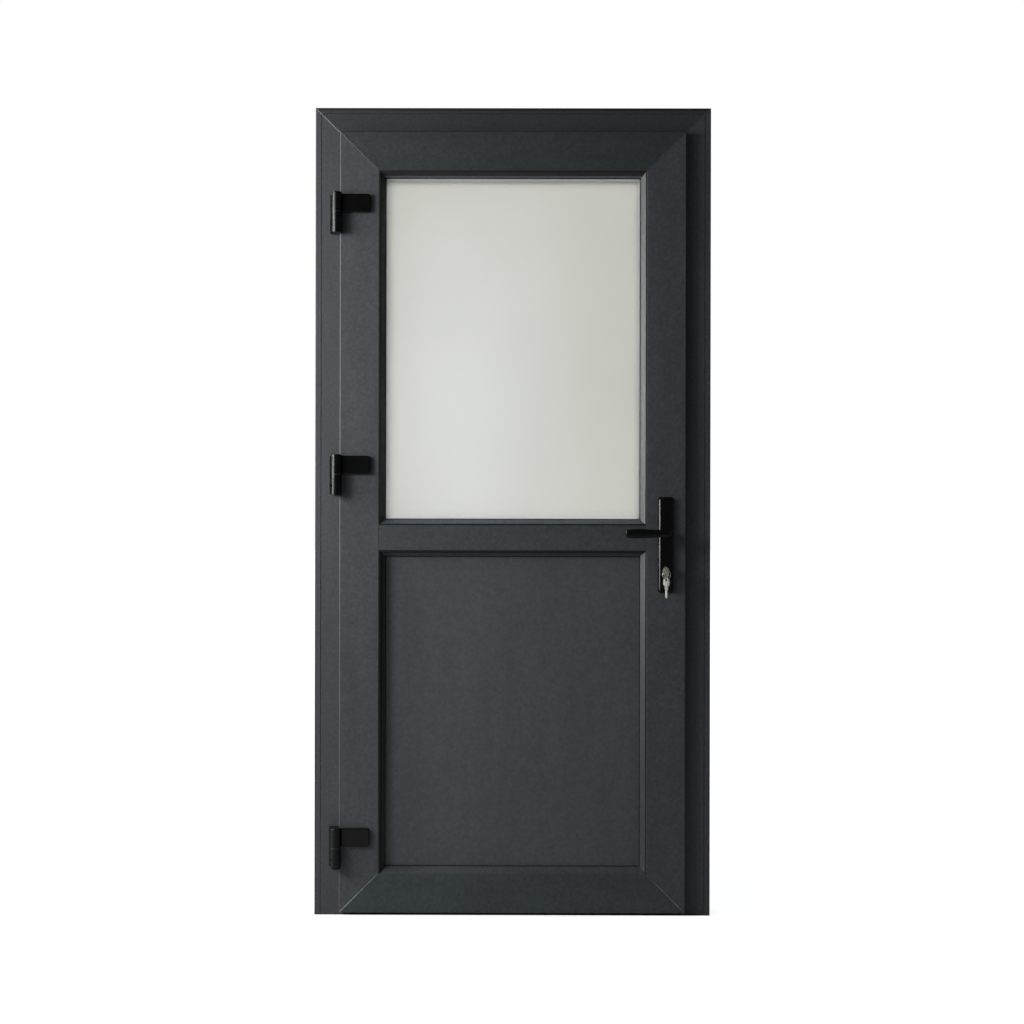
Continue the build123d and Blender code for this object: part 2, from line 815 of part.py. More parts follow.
def make_infill(name, low, high):
    where = (opening_half, low, high)
    side = bead(high - low)
    level = bead(2 * opening_half)
    nodes[name + "_side_beads"] = group([place(side, "left", *where), place(side, "right", *where)])
    nodes[name + "_level_beads"] = group([place(level, "top", *where), place(level, "bottom", *where)])
    reach_in = glazing_lip_reach
    band = reach_in - 2 * edge_gap
    inset = reach_in - band
    outer = (opening_half - inset, low + inset, high - inset)
    nodes[name + "_seals"] = group([
        ring(*outer, band, bead_back, unit_front),
        ring(*outer, band, unit_back, seat),
    ])


def make_glass():
    wide = opening_half - edge_gap
    low, high = glass_low + edge_gap, glass_high - edge_gap
    nodes["glass_front_pane"] = box(-wide, wide, unit_front, unit_front + pane_thickness, low, high)
    nodes["glass_back_pane"] = box(-wide, wide, unit_back - pane_thickness, unit_back, low, high)
    nodes["glass_spacer"] = ring(
        wide, low, high, spacer_width, unit_front + pane_thickness, unit_back - pane_thickness
    )


def make_panel():
    wide = opening_half - edge_gap
    low, high = panel_low + edge_gap, panel_high - edge_gap
    nodes["lower_panel"] = box(-wide, wide, unit_front, unit_back, low, high)


def make_blocks():
    """Packers that carry the glass and the panel in their rebates."""
    nodes["setting_blocks"] = group([
        box(x - block_length / 2, x + block_length / 2, unit_front, unit_back, low, low + edge_gap)
        for low in (glass_low, panel_low) for x in (-block_place, block_place)
    ])


# Hinges
def make_hinge(name, z):
    knuckle_low = z - sash_knuckle_height / 2
    knuckle_high = z + sash_knuckle_height / 2
    joint = knuckle_low - bush_flange
    foot = joint - frame_knuckle_height
    leaf_half = sash_knuckle_height / 2 - leaf_margin
    leaf = box(hinge_x, hinge_x + leaf_reach, leaf_face, sash_front, z - leaf_half, z + leaf_half)
    ends = edges_along(leaf, Axis.Y).group_by(Axis.X)[-1]
    leaf = fillet(ends, plate_corner - leaf_margin)
    leaf += disc_z(hinge_x, hinge_y, knuckle_low, knuckle_high, knuckle_radius)
    bore = pin_radius + running_gap + bush_wall
    leaf -= disc_z(hinge_x, hinge_y, knuckle_low - 1, knuckle_high + 1, bore)
    nodes["hinge_" + name + "_sash_leaf"] = cut_all(leaf, sash_leaf_screws(screw_gap))

    plate = box(frame_leaf_left, frame_leaf_right, frame_leaf_face, front, foot, knuckle_high)
    plate = chamfer(edges_along(plate, Axis.Z).group_by(Axis.Y)[0], leaf_margin)
    plate += box(frame_leaf_right - bridge_width, frame_leaf_right, hinge_y, frame_leaf_face, foot, joint)
    plate += disc_z(hinge_x, hinge_y, foot, joint, knuckle_radius)
    plate -= disc_z(hinge_x, hinge_y, foot + pin_end, joint + 1, pin_radius)
    nodes["hinge_" + name + "_frame_leaf"] = cut_all(plate, frame_leaf_screws(screw_gap))


def hinge_pin(z):
    foot = z - sash_knuckle_height / 2 - bush_flange - frame_knuckle_height
    return disc_z(hinge_x, hinge_y, foot + pin_end, z + sash_knuckle_height / 2 - pin_end, pin_radius)


def hinge_bush(z):
    low = z - sash_knuckle_height / 2
    outer = pin_radius + running_gap + bush_wall
    sleeve = disc_z(hinge_x, hinge_y, low, low + sash_knuckle_height - pin_end, outer)
    flange = disc_z(hinge_x, hinge_y, low - bush_flange, low, knuckle_radius)
    foot, top = low - bush_flange - 1, low + sash_knuckle_height
    return sleeve + flange - disc_z(hinge_x, hinge_y, foot, top, pin_radius + running_gap)


def hinge_cap(z, up):
    low = z + sash_knuckle_height / 2
    if not up:
        low = z - sash_knuckle_height / 2 - bush_flange - frame_knuckle_height - cap_height
    cap = disc_z(hinge_x, hinge_y, low, low + cap_height, knuckle_radius)
    rim = cap.edges().group_by(Axis.Z)[-1 if up else 0]
    return fillet(rim, cap_round)


def hinge_cover(z):
    tall = sash_knuckle_height / 2
    start, end = hinge_x + cover_start, hinge_x + leaf_reach + leaf_margin
    cover = box(start, end, sash_front - cover_thickness, sash_front, z - tall, z + tall)
    cover = fillet(edges_along(cover, Axis.Y).group_by(Axis.X)[-1], plate_corner)
    rim = cover.edges().group_by(Axis.Y)[0]
    cover = fillet(rim, leaf_margin)
    g = cover_gap
    hollow = box(start - 1, hinge_x + leaf_reach + g, leaf_face - g, sash_front + 1,
                 z - tall + leaf_margin - g, z + tall - leaf_margin + g)
    hollow = fillet(edges_along(hollow, Axis.Y).group_by(Axis.X)[-1], plate_corner - leaf_margin)
    return cover - hollow


def make_hinges():
    for name, z in zip(hinge_names, hinge_heights):
        make_hinge(name, z)
    nodes["hinge_pins"] = group([hinge_pin(z) for z in hinge_heights])
    nodes["hinge_bushes"] = group([hinge_bush(z) for z in hinge_heights])
    nodes["hinge_top_caps"] = group([hinge_cap(z, True) for z in hinge_heights])
    nodes["hinge_foot_caps"] = group([hinge_cap(z, False) for z in hinge_heights])
    nodes["hinge_covers"] = group([hinge_cover(z) for z in hinge_heights])
    nodes["sash_leaf_screws"] = group(sash_leaf_screws())
    nodes["frame_leaf_screws"] = group(frame_leaf_screws())


# Handles
def backplate(face, inner):
    """A hollow plate whose front is at face and whose back lies on the sash at inner."""
    y0, y1 = sorted((face, inner))
    near = 0 if face < inner else -1
    wide = plate_width / 2
    plate = box(handle_x - wide, handle_x + wide, y0, y1, plate_bottom, plate_top)
    plate = fillet(edges_along(plate, Axis.Y), plate_corner)
    plate = chamfer(plate.edges().group_by(Axis.Y)[near], plate_bevel)
    t = plate_wall
    deep = face + t if face < inner else face - t
    p0, p1 = sorted((deep, inner + (1 if face < inner else -1)))
    hollow = box(handle_x - wide + t, handle_x + wide - t, p0, p1, plate_bottom + t, plate_top - t)
    hollow = fillet(edges_along(hollow, Axis.Y), plate_corner - t)
    hollow -= disc_y(handle_x, p0 - 1, p1 + 1, handle_height, neck_radius + neck_play + t)
    for z in (plate_bottom + plate_screw_inset, plate_top - plate_screw_inset):
        hollow -= disc_y(handle_x, p0 - 1, p1 + 1, z, plate_post_radius)
    plate -= hollow
    plate -= disc_y(handle_x, y0 - 1, y1 + 1, handle_height, neck_radius + neck_play)
    plate -= euro_bar(y0 - 1, y1 + 1, cylinder_hole_play)
    return cut_all(plate, plate_screws(screw_gap))


def lever():
    """The front lever: a round neck out of the plate and a flattened grip towards the hinges."""
    end = front_plate_face - neck_length
    tip = end - grip_thickness
    neck = disc_y(handle_x, end, front_plate_face, handle_height, neck_radius)
    grip = box(
        handle_x - grip_length, handle_x + neck_radius, tip, end,
        handle_height - grip_height / 2, handle_height + grip_height / 2,
    )
    grip = fillet(edges_along(grip, Axis.X), grip_round)
    ends = grip.edges().group_by(Axis.X)
    grip = fillet(ends[0], grip_end_round)
    grip = fillet(grip.edges().group_by(Axis.X)[-1], grip_end_round)
    body = grip + disc_y(handle_x, end - grip_thickness / 2, end, handle_height, neck_radius) + neck
    socket = spindle_width / 2 + spindle_play
    body -= box(
        handle_x - socket, handle_x + socket, front_plate_face - spindle_bite, front_plate_face + 1,
        handle_height - socket, handle_height + socket,
    )
    return body


def make_handles():
    nodes["front_backplate"] = backplate(front_plate_face, sash_front)
    nodes["back_backplate"] = backplate(back_plate_face, sash_back)
    front_lever = lever()
    middle = (sash_front + sash_back) / 2
    nodes["front_lever"] = front_lever
    nodes["back_lever"] = front_lever.mirror(Plane(origin=(0, middle, 0), z_dir=(0, 1, 0)))
    side = spindle_width / 2
    nodes["spindle"] = box(
        handle_x - side, handle_x + side, front_plate_face - spindle_bite, back_plate_face + spindle_bite,
        handle_height - side, handle_height + side,
    )
    nodes["backplate_screws"] = group(plate_screws())


# Lock
def make_lock():
    low, high = case_low, case_high
    t = case_wall
    inner_front, inner_back = case_front + t, case_back - t
    case = box(case_left, case_right, case_front, case_back, low, high)
    case -= box(case_left + t, case_right + 1, inner_front, inner_back, low + t, high - t)
    case -= disc_y(handle_x, case_front - 1, case_back + 1, handle_height, follower_radius + running_gap)
    case -= euro_bar(case_front - 1, case_back + 1, cylinder_hole_play)
    nodes["lock_case"] = case

    plate = box(
        case_right, sash_edge, lock_middle - faceplate_width / 2, lock_middle + faceplate_width / 2,
        faceplate_low, faceplate_high,
    )
    plate = fillet(edges_along(plate, Axis.X), faceplate_round)
    plate -= box(
        case_right - 1, sash_edge + 1, inner_front, inner_back, *latch_span(inner_play / 2)
    )
    plate -= box(
        case_right - 1, sash_edge + 1, lock_middle - bolt_thickness / 2 - inner_play / 2,
        lock_middle + bolt_thickness / 2 + inner_play / 2, *bolt_span(inner_play / 2)
    )
    nodes["lock_faceplate"] = cut_all(plate, faceplate_screws(screw_gap) + [cylinder_screw(screw_gap)])
    nodes["faceplate_screws"] = group(faceplate_screws())
    nodes["cylinder_screw"] = cylinder_screw()

    tail_front = inner_front + inner_play
    tail_back = tail_front + tail_thickness
    arm_front = tail_back + inner_play
    latch_front, latch_back = tail_front, inner_back - inner_play
    tip = sash_edge + latch_throw
    latch_low, latch_high = latch_span()
    latch = box(sash_edge - latch_root, tip, latch_front, latch_back, latch_low, latch_high)
    wedge = make_face(Polyline(
        (tip - latch_bevel, latch_back + 1, 0),
        (tip + 1, latch_back + 1, 0),
        (tip + 1, latch_front + latch_flat, 0),
        (tip, latch_front + latch_flat, 0),
        (tip - latch_bevel, latch_back, 0),
        close=True,
    ))
    latch -= Pos(0, 0, latch_low - 1) * extrude(wedge, latch_height + 2)
    hook_right = handle_x - follower_arm_width / 2 - hook_play
    hook_low = handle_height + hook_rise
    hook_high = latch_high - hook_drop
    hook_left = hook_right - hook_thickness
    latch += box(hook_left, sash_edge - latch_root, tail_front, tail_back, hook_low, hook_high)
    latch += box(hook_left, hook_right, tail_front, latch_back, hook_low, hook_high)
    nodes["latch_bolt"] = latch

    follower = disc_y(handle_x, case_front, case_back, handle_height, follower_radius)
    follower += box(
        handle_x - follower_arm_width / 2, handle_x + follower_arm_width / 2, arm_front,
        inner_back - inner_play, handle_height, handle_height + follower_arm_reach,
    )
    socket = spindle_width / 2 + spindle_play
    follower -= box(
        handle_x - socket, handle_x + socket, case_front - 1, case_back + 1,
        handle_height - socket, handle_height + socket,
    )
    nodes["lock_follower"] = follower

    bolt_low, bolt_high = bolt_span()
    bolt_front, bolt_back = lock_middle - bolt_thickness / 2, lock_middle + bolt_thickness / 2
    bolt = box(sash_edge - bolt_throw, sash_edge, bolt_front, bolt_back, bolt_low, bolt_high)
    bolt += box(
        sash_edge - bolt_throw - bolt_tail, sash_edge - bolt_throw, bolt_front, bolt_front + tail_thickness,
        bolt_low, bolt_high,
    )
    nodes["dead_bolt"] = bolt


def make_keep():
    face = jamb_inside - keep_thickness
    y0, y1 = lock_middle - keep_width / 2, lock_middle + keep_width / 2
    plate = box(face, jamb_inside, y0, y1, faceplate_low, faceplate_high)
    plate = fillet(edges_along(plate, Axis.X), keep_corner)
    plate -= box(face - 1, jamb_inside + 1, y0 - 1, keep_mouth[1], *latch_span(keep_play))
    plate -= box(face - 1, jamb_inside + 1, *keep_mouth, *bolt_span(keep_play))
    nodes["lock_keep"] = cut_all(plate, keep_screws(screw_gap))
    nodes["keep_screws"] = group(keep_screws())


# Cylinder and keys
def make_cylinder():
    y0, y1 = lock_middle - cylinder_front, lock_middle + cylinder_back
    body = euro_bar(y0, y1)
    gap0, gap1 = lock_middle - cam_gap / 2, lock_middle + cam_gap / 2
    floor = cylinder_height - cylinder_tall + cylinder_radius + bridge_height
    body -= box(handle_x - clear, handle_x + clear, gap0, gap1, floor, floor + clear)
    body -= disc_y(handle_x, y0 - 1, y1 + 1, cylinder_height, plug_radius + running_gap)
    screw = cylinder_screw(screw_gap)
    nodes["cylinder_body"] = body - screw

    keyway = (keyway_width / 2, keyway_height / 2)
    plug = disc_y(handle_x, y0, gap0, cylinder_height, plug_radius)
    cam_y = (lock_middle - cam_width / 2, lock_middle + cam_width / 2)
    cam = disc_y(handle_x, *cam_y, cylinder_height, plug_radius + cam_rim)
    finger = box(handle_x - cam_finger / 2, handle_x + cam_finger / 2, *cam_y,
                 cylinder_height - cam_radius - 1, cylinder_height)
    cam += finger & disc_y(handle_x, *cam_y, cylinder_height, cam_radius)
    link = disc_y(handle_x, gap0, cam_y[0], cylinder_height, plug_radius)
    turning = plug + link + cam
    slot = box(-keyway[0], keyway[0], y0 - 1, y0 + key_blade + key_play, -keyway[1], keyway[1])
    nodes["cylinder_plug"] = turning - key_place * slot
    rear = disc_y(handle_x, gap1, y1, cylinder_height, plug_radius)
    rear -= box(
        handle_x - keyway[0], handle_x + keyway[0], y1 - key_blade, y1 + 1,
        cylinder_height - keyway[1], cylinder_height + keyway[1],
    )
    nodes["cylinder_rear_plug"] = rear


def cut_key(bow_radius, hole_out, hole_rise, neck, blade):
    """A key lying in the XZ plane: its bow's middle at the origin, its blade pointing down."""
    wide = key_blade_height / 2
    bow = Circle(bow_radius)
    bow += Pos(0, -bow_radius - neck / 2 + key_overlap) * Rectangle(
        2 * (wide + key_shoulder), neck + 2 * key_overlap
    )
    bow -= Pos(hole_rise, hole_out) * Circle(key_hole_radius)
    top = -bow_radius - neck + key_overlap
    low = -bow_radius - neck - blade
    outline = [(-wide, top), (-wide, low + wide), (0, low), (wide, low + wide), (wide, top)]
    shank = make_face(Polyline(*outline, close=True))
    for i in range(key_notches):
        up = low + wide + key_notch_start + i * key_notch_pitch
        shank -= Pos(wide, up) * Rectangle(2 * key_notch_depth, key_notch_width)
    whole = extrude(bow, key_bow_thickness / 2, both=True) + extrude(shank, key_thickness / 2, both=True)
    return Rot(90, 0, 0) * whole


def make_keys():
    neck = key_bow_out - key_bow_radius
    key = cut_key(key_bow_radius, key_hole_out, -key_hole_rise, neck, key_blade - key_play)
    bow = (0, key_axis_y - key_bow_out, 0)
    nodes["key"] = key_place * Plane(origin=bow, x_dir=(0, 0, -1), z_dir=(0, -1, 0)).location * key
    wire = Rot(0, 0, ring_turn) * Rot(90, 0, 0) * Torus(ring_radius, ring_wire)
    nodes["key_ring"] = Pos(key_hole_x, key_hole_y, ring_middle) * wire
    spare = cut_key(spare_bow_radius, spare_hole_z - spare_bow_z, 0, spare_neck, key_blade - spare_neck)
    nodes["spare_key"] = Pos(key_hole_x, key_hole_y, spare_bow_z) * Rot(0, 0, spare_turn) * spare


make_frame()
make_threshold()
make_seals()
make_sash()
make_infill("glass", glass_low, glass_high)
make_infill("panel", panel_low, panel_high)
make_glass()
make_panel()
make_blocks()
make_hinges()
make_handles()
make_lock()
make_keep()
make_cylinder()
make_keys()

os.makedirs("parts", exist_ok=True)
for name, piece in nodes.items():
    export_step(piece, "parts/" + name + ".step")
print(len(nodes), "nodes")
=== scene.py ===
"""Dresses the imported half-glazed door: foiled profiles, opal glass, black hardware, keys and a studio.

The door stands in the frame's own axes: X to the right as seen from the side it opens towards, Y through
the door away from that side, Z up, in metres. New pieces are given in millimetres and scaled by MM.
"""

import logging
import math
from collections.abc import Callable, Iterable
from dataclasses import dataclass, field
from enum import Enum
from typing import Any

import bpy
from mathutils import Matrix, Vector


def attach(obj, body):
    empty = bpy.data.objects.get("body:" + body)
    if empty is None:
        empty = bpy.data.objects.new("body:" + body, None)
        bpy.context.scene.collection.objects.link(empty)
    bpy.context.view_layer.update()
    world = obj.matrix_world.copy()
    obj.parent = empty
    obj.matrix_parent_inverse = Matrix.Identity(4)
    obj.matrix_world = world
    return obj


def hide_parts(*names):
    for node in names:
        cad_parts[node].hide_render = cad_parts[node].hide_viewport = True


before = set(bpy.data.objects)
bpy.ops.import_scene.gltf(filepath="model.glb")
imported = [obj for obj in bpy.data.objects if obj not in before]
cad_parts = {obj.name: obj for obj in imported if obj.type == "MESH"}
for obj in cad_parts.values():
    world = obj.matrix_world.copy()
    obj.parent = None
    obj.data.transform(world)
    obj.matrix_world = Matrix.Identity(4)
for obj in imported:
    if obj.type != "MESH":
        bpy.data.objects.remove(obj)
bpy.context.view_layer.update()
LOG = logging.getLogger("door")
MM = 0.001
FACING = 0.9  # a face looks along an axis when its normal's share along it is above this

Tree = bpy.types.NodeTree
Socket = bpy.types.NodeSocket


class Run(Enum):
    """The way a foil's grain runs along its profile."""

    UPRIGHT = "upright"
    LEVEL = "level"


class Side(Enum):
    """The two faces of the door."""

    FRONT = "front"
    BACK = "back"


def linear(code: str) -> tuple[float, float, float, float]:
    """Turns an sRGB hex colour into linear light.

    Args:
        code: The colour, such as "#3A3D42".

    Returns:
        Red, green, blue and an alpha of 1.
    """
    parts = [int(code[i : i + 2], 16) / 255 for i in (1, 3, 5)]
    red, green, blue = (c / 12.92 if c <= 0.04045 else ((c + 0.055) / 1.055) ** 2.4 for c in parts)
    return red, green, blue, 1.0


def add(
    tree: Tree,
    kind: str,
    values: dict[str | int, Any] | None = None,
    links: dict[str | int, Socket] | None = None,
    stops: Iterable[tuple[float, str]] = (),
    **settings: Any,
) -> bpy.types.Node:
    """Adds one shader node with its settings and links.

    Args:
        tree: The node tree that gets it.
        kind: The node's type without "ShaderNode".
        values: Socket values by name or number.
        links: Output sockets by the name or number of the input that each goes to.
        stops: Places and hex colours of a colour ramp.
        settings: The node's own properties.

    Returns:
        The new node.
    """
    made = tree.nodes.new("ShaderNode" + kind)
    for name, value in settings.items():
        setattr(made, name, value)
    for socket, value in (values or {}).items():
        made.inputs[socket].default_value = value
    for socket, source in (links or {}).items():
        tree.links.new(source, made.inputs[socket])
    for i, (place, code) in enumerate(stops):
        elements = made.color_ramp.elements
        element = elements[i] if i < len(elements) else elements.new(place)
        element.position = place
        element.color = linear(code)
    return made


def start_material(name: str) -> tuple[bpy.types.Material, Tree, Socket]:
    """Starts a material with an empty tree.

    Args:
        name: The material's name.

    Returns:
        The material, its tree and the object coordinates' socket.
    """
    material = bpy.data.materials.new(name)
    material.use_nodes = True
    material.node_tree.nodes.clear()
    coordinates = add(material.node_tree, "TexCoord")
    return material, material.node_tree, coordinates.outputs["Object"]


def scale_of(size_mm: float) -> float:
    """Finds a texture's scale.

    Args:
        size_mm: About how large its features are to be.

    Returns:
        The scale that gives them.
    """
    return 1.0 / (size_mm * MM)


def noise(tree: Tree, place: Socket, size_mm: float, detail: float, roughness: float = 0.5) -> Socket:
    """Adds a noise texture.

    Args:
        tree: The material's tree.
        place: The coordinates that it follows.
        size_mm: About how large its features are.
        detail: How many finer layers it has.
        roughness: How strong each finer layer is.

    Returns:
        Its value's socket.
    """
    values = {"Scale": scale_of(size_mm), "Detail": detail, "Roughness": roughness}
    return add(tree, "TexNoise", values, {"Vector": place}).outputs["Fac"]


def layer(tree: Tree, top: Socket, share: float, base: Socket) -> Socket:
    """Adds a share of one value to another.

    Args:
        tree: The material's tree.
        top: The value that is added.
        share: How much of it.
        base: The value that gets it.

    Returns:
        The sum's socket.
    """
    return add(tree, "Math", {1: share}, {0: top, 2: base}, operation="MULTIPLY_ADD").outputs[0]


def larger(tree: Tree, first: Socket, second: Socket) -> Socket:
    """Takes the larger of two values.

    Args:
        tree: The node tree.
        first: One value.
        second: The other.

    Returns:
        The larger one's socket.
    """
    return add(tree, "Math", links={0: first, 1: second}, operation="MAXIMUM").outputs[0]


def spread(tree: Tree, value: Socket, low: float, high: float) -> Socket:
    """Spreads a value that runs from 0 to 1 over another range.

    Args:
        tree: The material's tree.
        value: The value.
        low: The answer at 0.
        high: The answer at 1.

    Returns:
        The answer's socket.
    """
    return add(tree, "MapRange", {"To Min": low, "To Max": high}, {"Value": value}).outputs["Result"]


def ramp(tree: Tree, value: Socket, *stops: tuple[float, str]) -> Socket:
    """Turns a value into a colour.

    Args:
        tree: The material's tree.
        value: The value.
        stops: Places and hex colours.

    Returns:
        The colour's socket.
    """
    return add(tree, "ValToRGB", links={"Fac": value}, stops=stops).outputs["Color"]


def cover(tree: Tree, base: Socket, code: str, amount: Socket) -> Socket:
    """Lays one colour over another.

    Args:
        tree: The material's tree.
        base: The colour underneath.
        code: The hex colour on top.
        amount: How far it covers, from 0 to 1.

    Returns:
        The mixed colour's socket.
    """
    mixed = add(tree, "Mix", {"B": linear(code)}, {"Factor": amount, "A": base}, data_type="RGBA")
    return mixed.outputs["Result"]


def emboss(
    tree: Tree, height: Socket, strength: float, depth_mm: float, below: Socket | None = None
) -> Socket:
    """Presses a relief into a surface.

    Args:
        tree: The material's tree.
        height: The relief's value.
        strength: How strongly it shows.
        depth_mm: How deep it is.
        below: The normal that it is laid on, if not the surface's own.

    Returns:
        The normal's socket.
    """
    links = {"Height": height}
    if below is not None:
        links["Normal"] = below
    return add(tree, "Bump", {"Strength": strength, "Distance": depth_mm * MM}, links).outputs["Normal"]


def surface(
    tree: Tree, values: dict[str, float], tint: Socket, gloss: Socket, normal: Socket | None = None
) -> None:
    """Ends a material with its surface.

    Args:
        tree: The material's tree.
        values: The surface's fixed values by name.
        tint: Its colour.
        gloss: Its roughness.
        normal: Its relief, if it has one.
    """
    links = {"Base Color": tint, "Roughness": gloss}
    if normal is not None:
        links["Normal"] = normal
    shader = add(tree, "BsdfPrincipled", values, links)
    add(tree, "OutputMaterial", links={"Surface": shader.outputs["BSDF"]})


@dataclass(frozen=True)
class Box:
    """A box in the door's own axes, seen from the front, in metres."""

    left: float
    right: float
    low: float
    high: float

    def outside(self, tree: Tree, place: Socket, start: float = 0.0, end: float = 0.0002) -> Socket:
        """Finds how far outside the box a point is.

        Args:
            tree: The material's tree.
            place: The object coordinates.
            start: The distance beyond the box's edge where the answer leaves 0.
            end: The distance where it reaches 1.

        Returns:
            A socket that runs from 0 to 1.
        """
        middle = ((self.left + self.right) / 2, 0.0, (self.low + self.high) / 2)
        half = ((self.right - self.left) / 2, 1.0, (self.high - self.low) / 2)
        offset = add(tree, "VectorMath", {1: middle}, {0: place}, operation="SUBTRACT")
        size = add(tree, "VectorMath", links={0: offset.outputs["Vector"]}, operation="ABSOLUTE")
        beyond = add(tree, "VectorMath", {1: half}, {0: size.outputs["Vector"]}, operation="SUBTRACT")
        parts = add(tree, "SeparateXYZ", links={0: beyond.outputs["Vector"]})
        near = add(
            tree, "MapRange", {"From Min": start, "From Max": end},
            {"Value": larger(tree, parts.outputs["X"], parts.outputs["Z"])},
            interpolation_type="SMOOTHSTEP",
        )
        return near.outputs["Result"]


@dataclass(frozen=True)
class FoiledPvc:
    """Extruded PVC-u under an embossed anthracite foil: a dark grey skin, softly mottled, with a fine
    leathery grain along each profile and a satin sheen."""

    name: str
    run: Run
    shades: tuple[str, str, str] = ("#303337", "#383A3F", "#404348")
    cloud_mm: float = 60.0
    cloud_share: float = 0.4
    pebble_mm: float = 7.0  # coarser than the real emboss, so that it shows at this size
    pebble_depth_mm: float = 0.5
    grain_mm: float = 1.3
    grain_depth_mm: float = 0.12
    stretch: float = 4.0
    roughness: tuple[float, float] = (0.5, 0.62)
    ior: float = 1.52
    sheen: float = 0.5
    undarkened: Box | None = None  # outside this box the foil is painted dark: a painted shadow round the beads, a dark band at the frame's outer edge
    # The colour painted outside that box
    darkening: str = "#0B0C0D"

    def tint(self, tree: Tree, place: Socket, blend: Socket) -> Socket:
        """Colours the foil, and paints it dark outside its box where it has one.

        Args:
            tree: The material's tree.
            place: The object coordinates.
            blend: The value that mottles the foil.

        Returns:
            The colour's socket.
        """
        foil = ramp(tree, blend, (0.5, self.shades[0]), (0.7, self.shades[1]), (0.9, self.shades[2]))
        if self.undarkened is None:
            return foil
        return cover(tree, foil, self.darkening, self.undarkened.outside(tree, place))

    def build(self) -> bpy.types.Material:
        """Builds the material.

        Returns:
            The material.
        """
        material, tree, place = start_material(self.name)
        along = 1 / self.stretch
        scale = (1.0, 1.0, along) if self.run is Run.UPRIGHT else (along, 1.0, 1.0)
        mapped = add(tree, "Mapping", {"Scale": scale}, {"Vector": place}).outputs["Vector"]
        cloud = noise(tree, mapped, self.cloud_mm, detail=3.0)
        pebble = noise(tree, place, self.pebble_mm, detail=5.0, roughness=0.6)
        grain = noise(tree, mapped, self.grain_mm, detail=3.0)
        blend = layer(tree, cloud, self.cloud_share, pebble)
        gloss = spread(tree, pebble, *self.roughness)
        coarse = emboss(tree, pebble, strength=0.3, depth_mm=self.pebble_depth_mm)
        fine = emboss(tree, grain, strength=0.25, depth_mm=self.grain_depth_mm, below=coarse)
        values = {"IOR": self.ior, "Specular IOR Level": self.sheen}
        surface(tree, values, self.tint(tree, place, blend), gloss, fine)
        return material


@dataclass(frozen=True)
class OpalGlass:
    """Float glass with a satin-etched opal face: a pale, slightly green white that is softly uneven, with a
    painted glow left of the middle that stands in for light from the room behind, and a painted bright band
    along its edge beside the beads."""

    name: str
    shades: tuple[str, str, str] = ("#E2E2DB", "#E8E7E3", "#EFEFEE")
    # The painted glow's middle and reach
    painted_glow_at: tuple[float, float, float] = (-0.12, 0.0, 1.26)
    glow_reach: tuple[float, float, float] = (0.30, 1.0, 0.62)
    pane: Box = Box(left=-0.314, right=0.314, low=0.982, high=1.824)
    painted_rim: str = "#FEFDFC"  # painted highlight: a bright band beside the beads, standing in for light round the pane's edge
    painted_rim_width: float = 0.006
    haze_mm: float = 240.0
    haze_share: float = 0.5
    etch_mm: float = 0.8
    etch_depth_mm: float = 0.05
    roughness: tuple[float, float] = (0.38, 0.48)
    ior: float = 1.52
    passes: float = 0.85  # the share of light that goes through

    def build(self) -> bpy.types.Material:
        """Builds the material.

        Returns:
            The material.
        """
        material, tree, place = start_material(self.name)
        centred = add(tree, "VectorMath", {1: self.painted_glow_at}, {0: place}, operation="SUBTRACT")
        sized = add(
            tree, "VectorMath", {1: self.glow_reach}, {0: centred.outputs["Vector"]}, operation="DIVIDE"
        )
        away = add(tree, "VectorMath", links={0: sized.outputs["Vector"]}, operation="LENGTH")
        haze = noise(tree, place, self.haze_mm, detail=2.0)
        level = add(
            tree, "MapRange", {"From Min": 0.25, "From Max": 1.5, "To Min": 1.0, "To Max": 0.0},
            {"Value": layer(tree, haze, self.haze_share, away.outputs["Value"])},
            interpolation_type="SMOOTHSTEP",
        )
        first, second, third = self.shades
        tint = ramp(tree, level.outputs["Result"], (0.0, first), (0.45, second), (1.0, third))
        near = self.pane.outside(tree, place, -self.painted_rim_width, -self.painted_rim_width / 2)
        with_painted_rim = cover(tree, tint, self.painted_rim, near)
        etch = noise(tree, place, self.etch_mm, detail=2.0)
        bump = emboss(tree, etch, strength=0.12, depth_mm=self.etch_depth_mm)
        gloss = spread(tree, haze, *self.roughness)
        surface(tree, {"IOR": self.ior, "Transmission Weight": self.passes}, with_painted_rim, gloss, bump)
        return material


@dataclass(frozen=True)
class ClearGlass:
    """Float glass as it leaves the line: clear, faintly green, with a trace of haze from handling."""

    name: str
    shades: tuple[str, str] = ("#F3F6F4", "#F8FAF8")
    haze_mm: float = 180.0
    roughness: tuple[float, float] = (0.01, 0.06)
    ior: float = 1.52

    def build(self) -> bpy.types.Material:
        """Builds the material.

        Returns:
            The material.
        """
        material, tree, place = start_material(self.name)
        haze = noise(tree, place, self.haze_mm, detail=4.0)
        tint = ramp(tree, haze, (0.3, self.shades[0]), (0.7, self.shades[1]))
        gloss = spread(tree, haze, *self.roughness)
        surface(tree, {"IOR": self.ior, "Transmission Weight": 1.0}, tint, gloss)
        return material


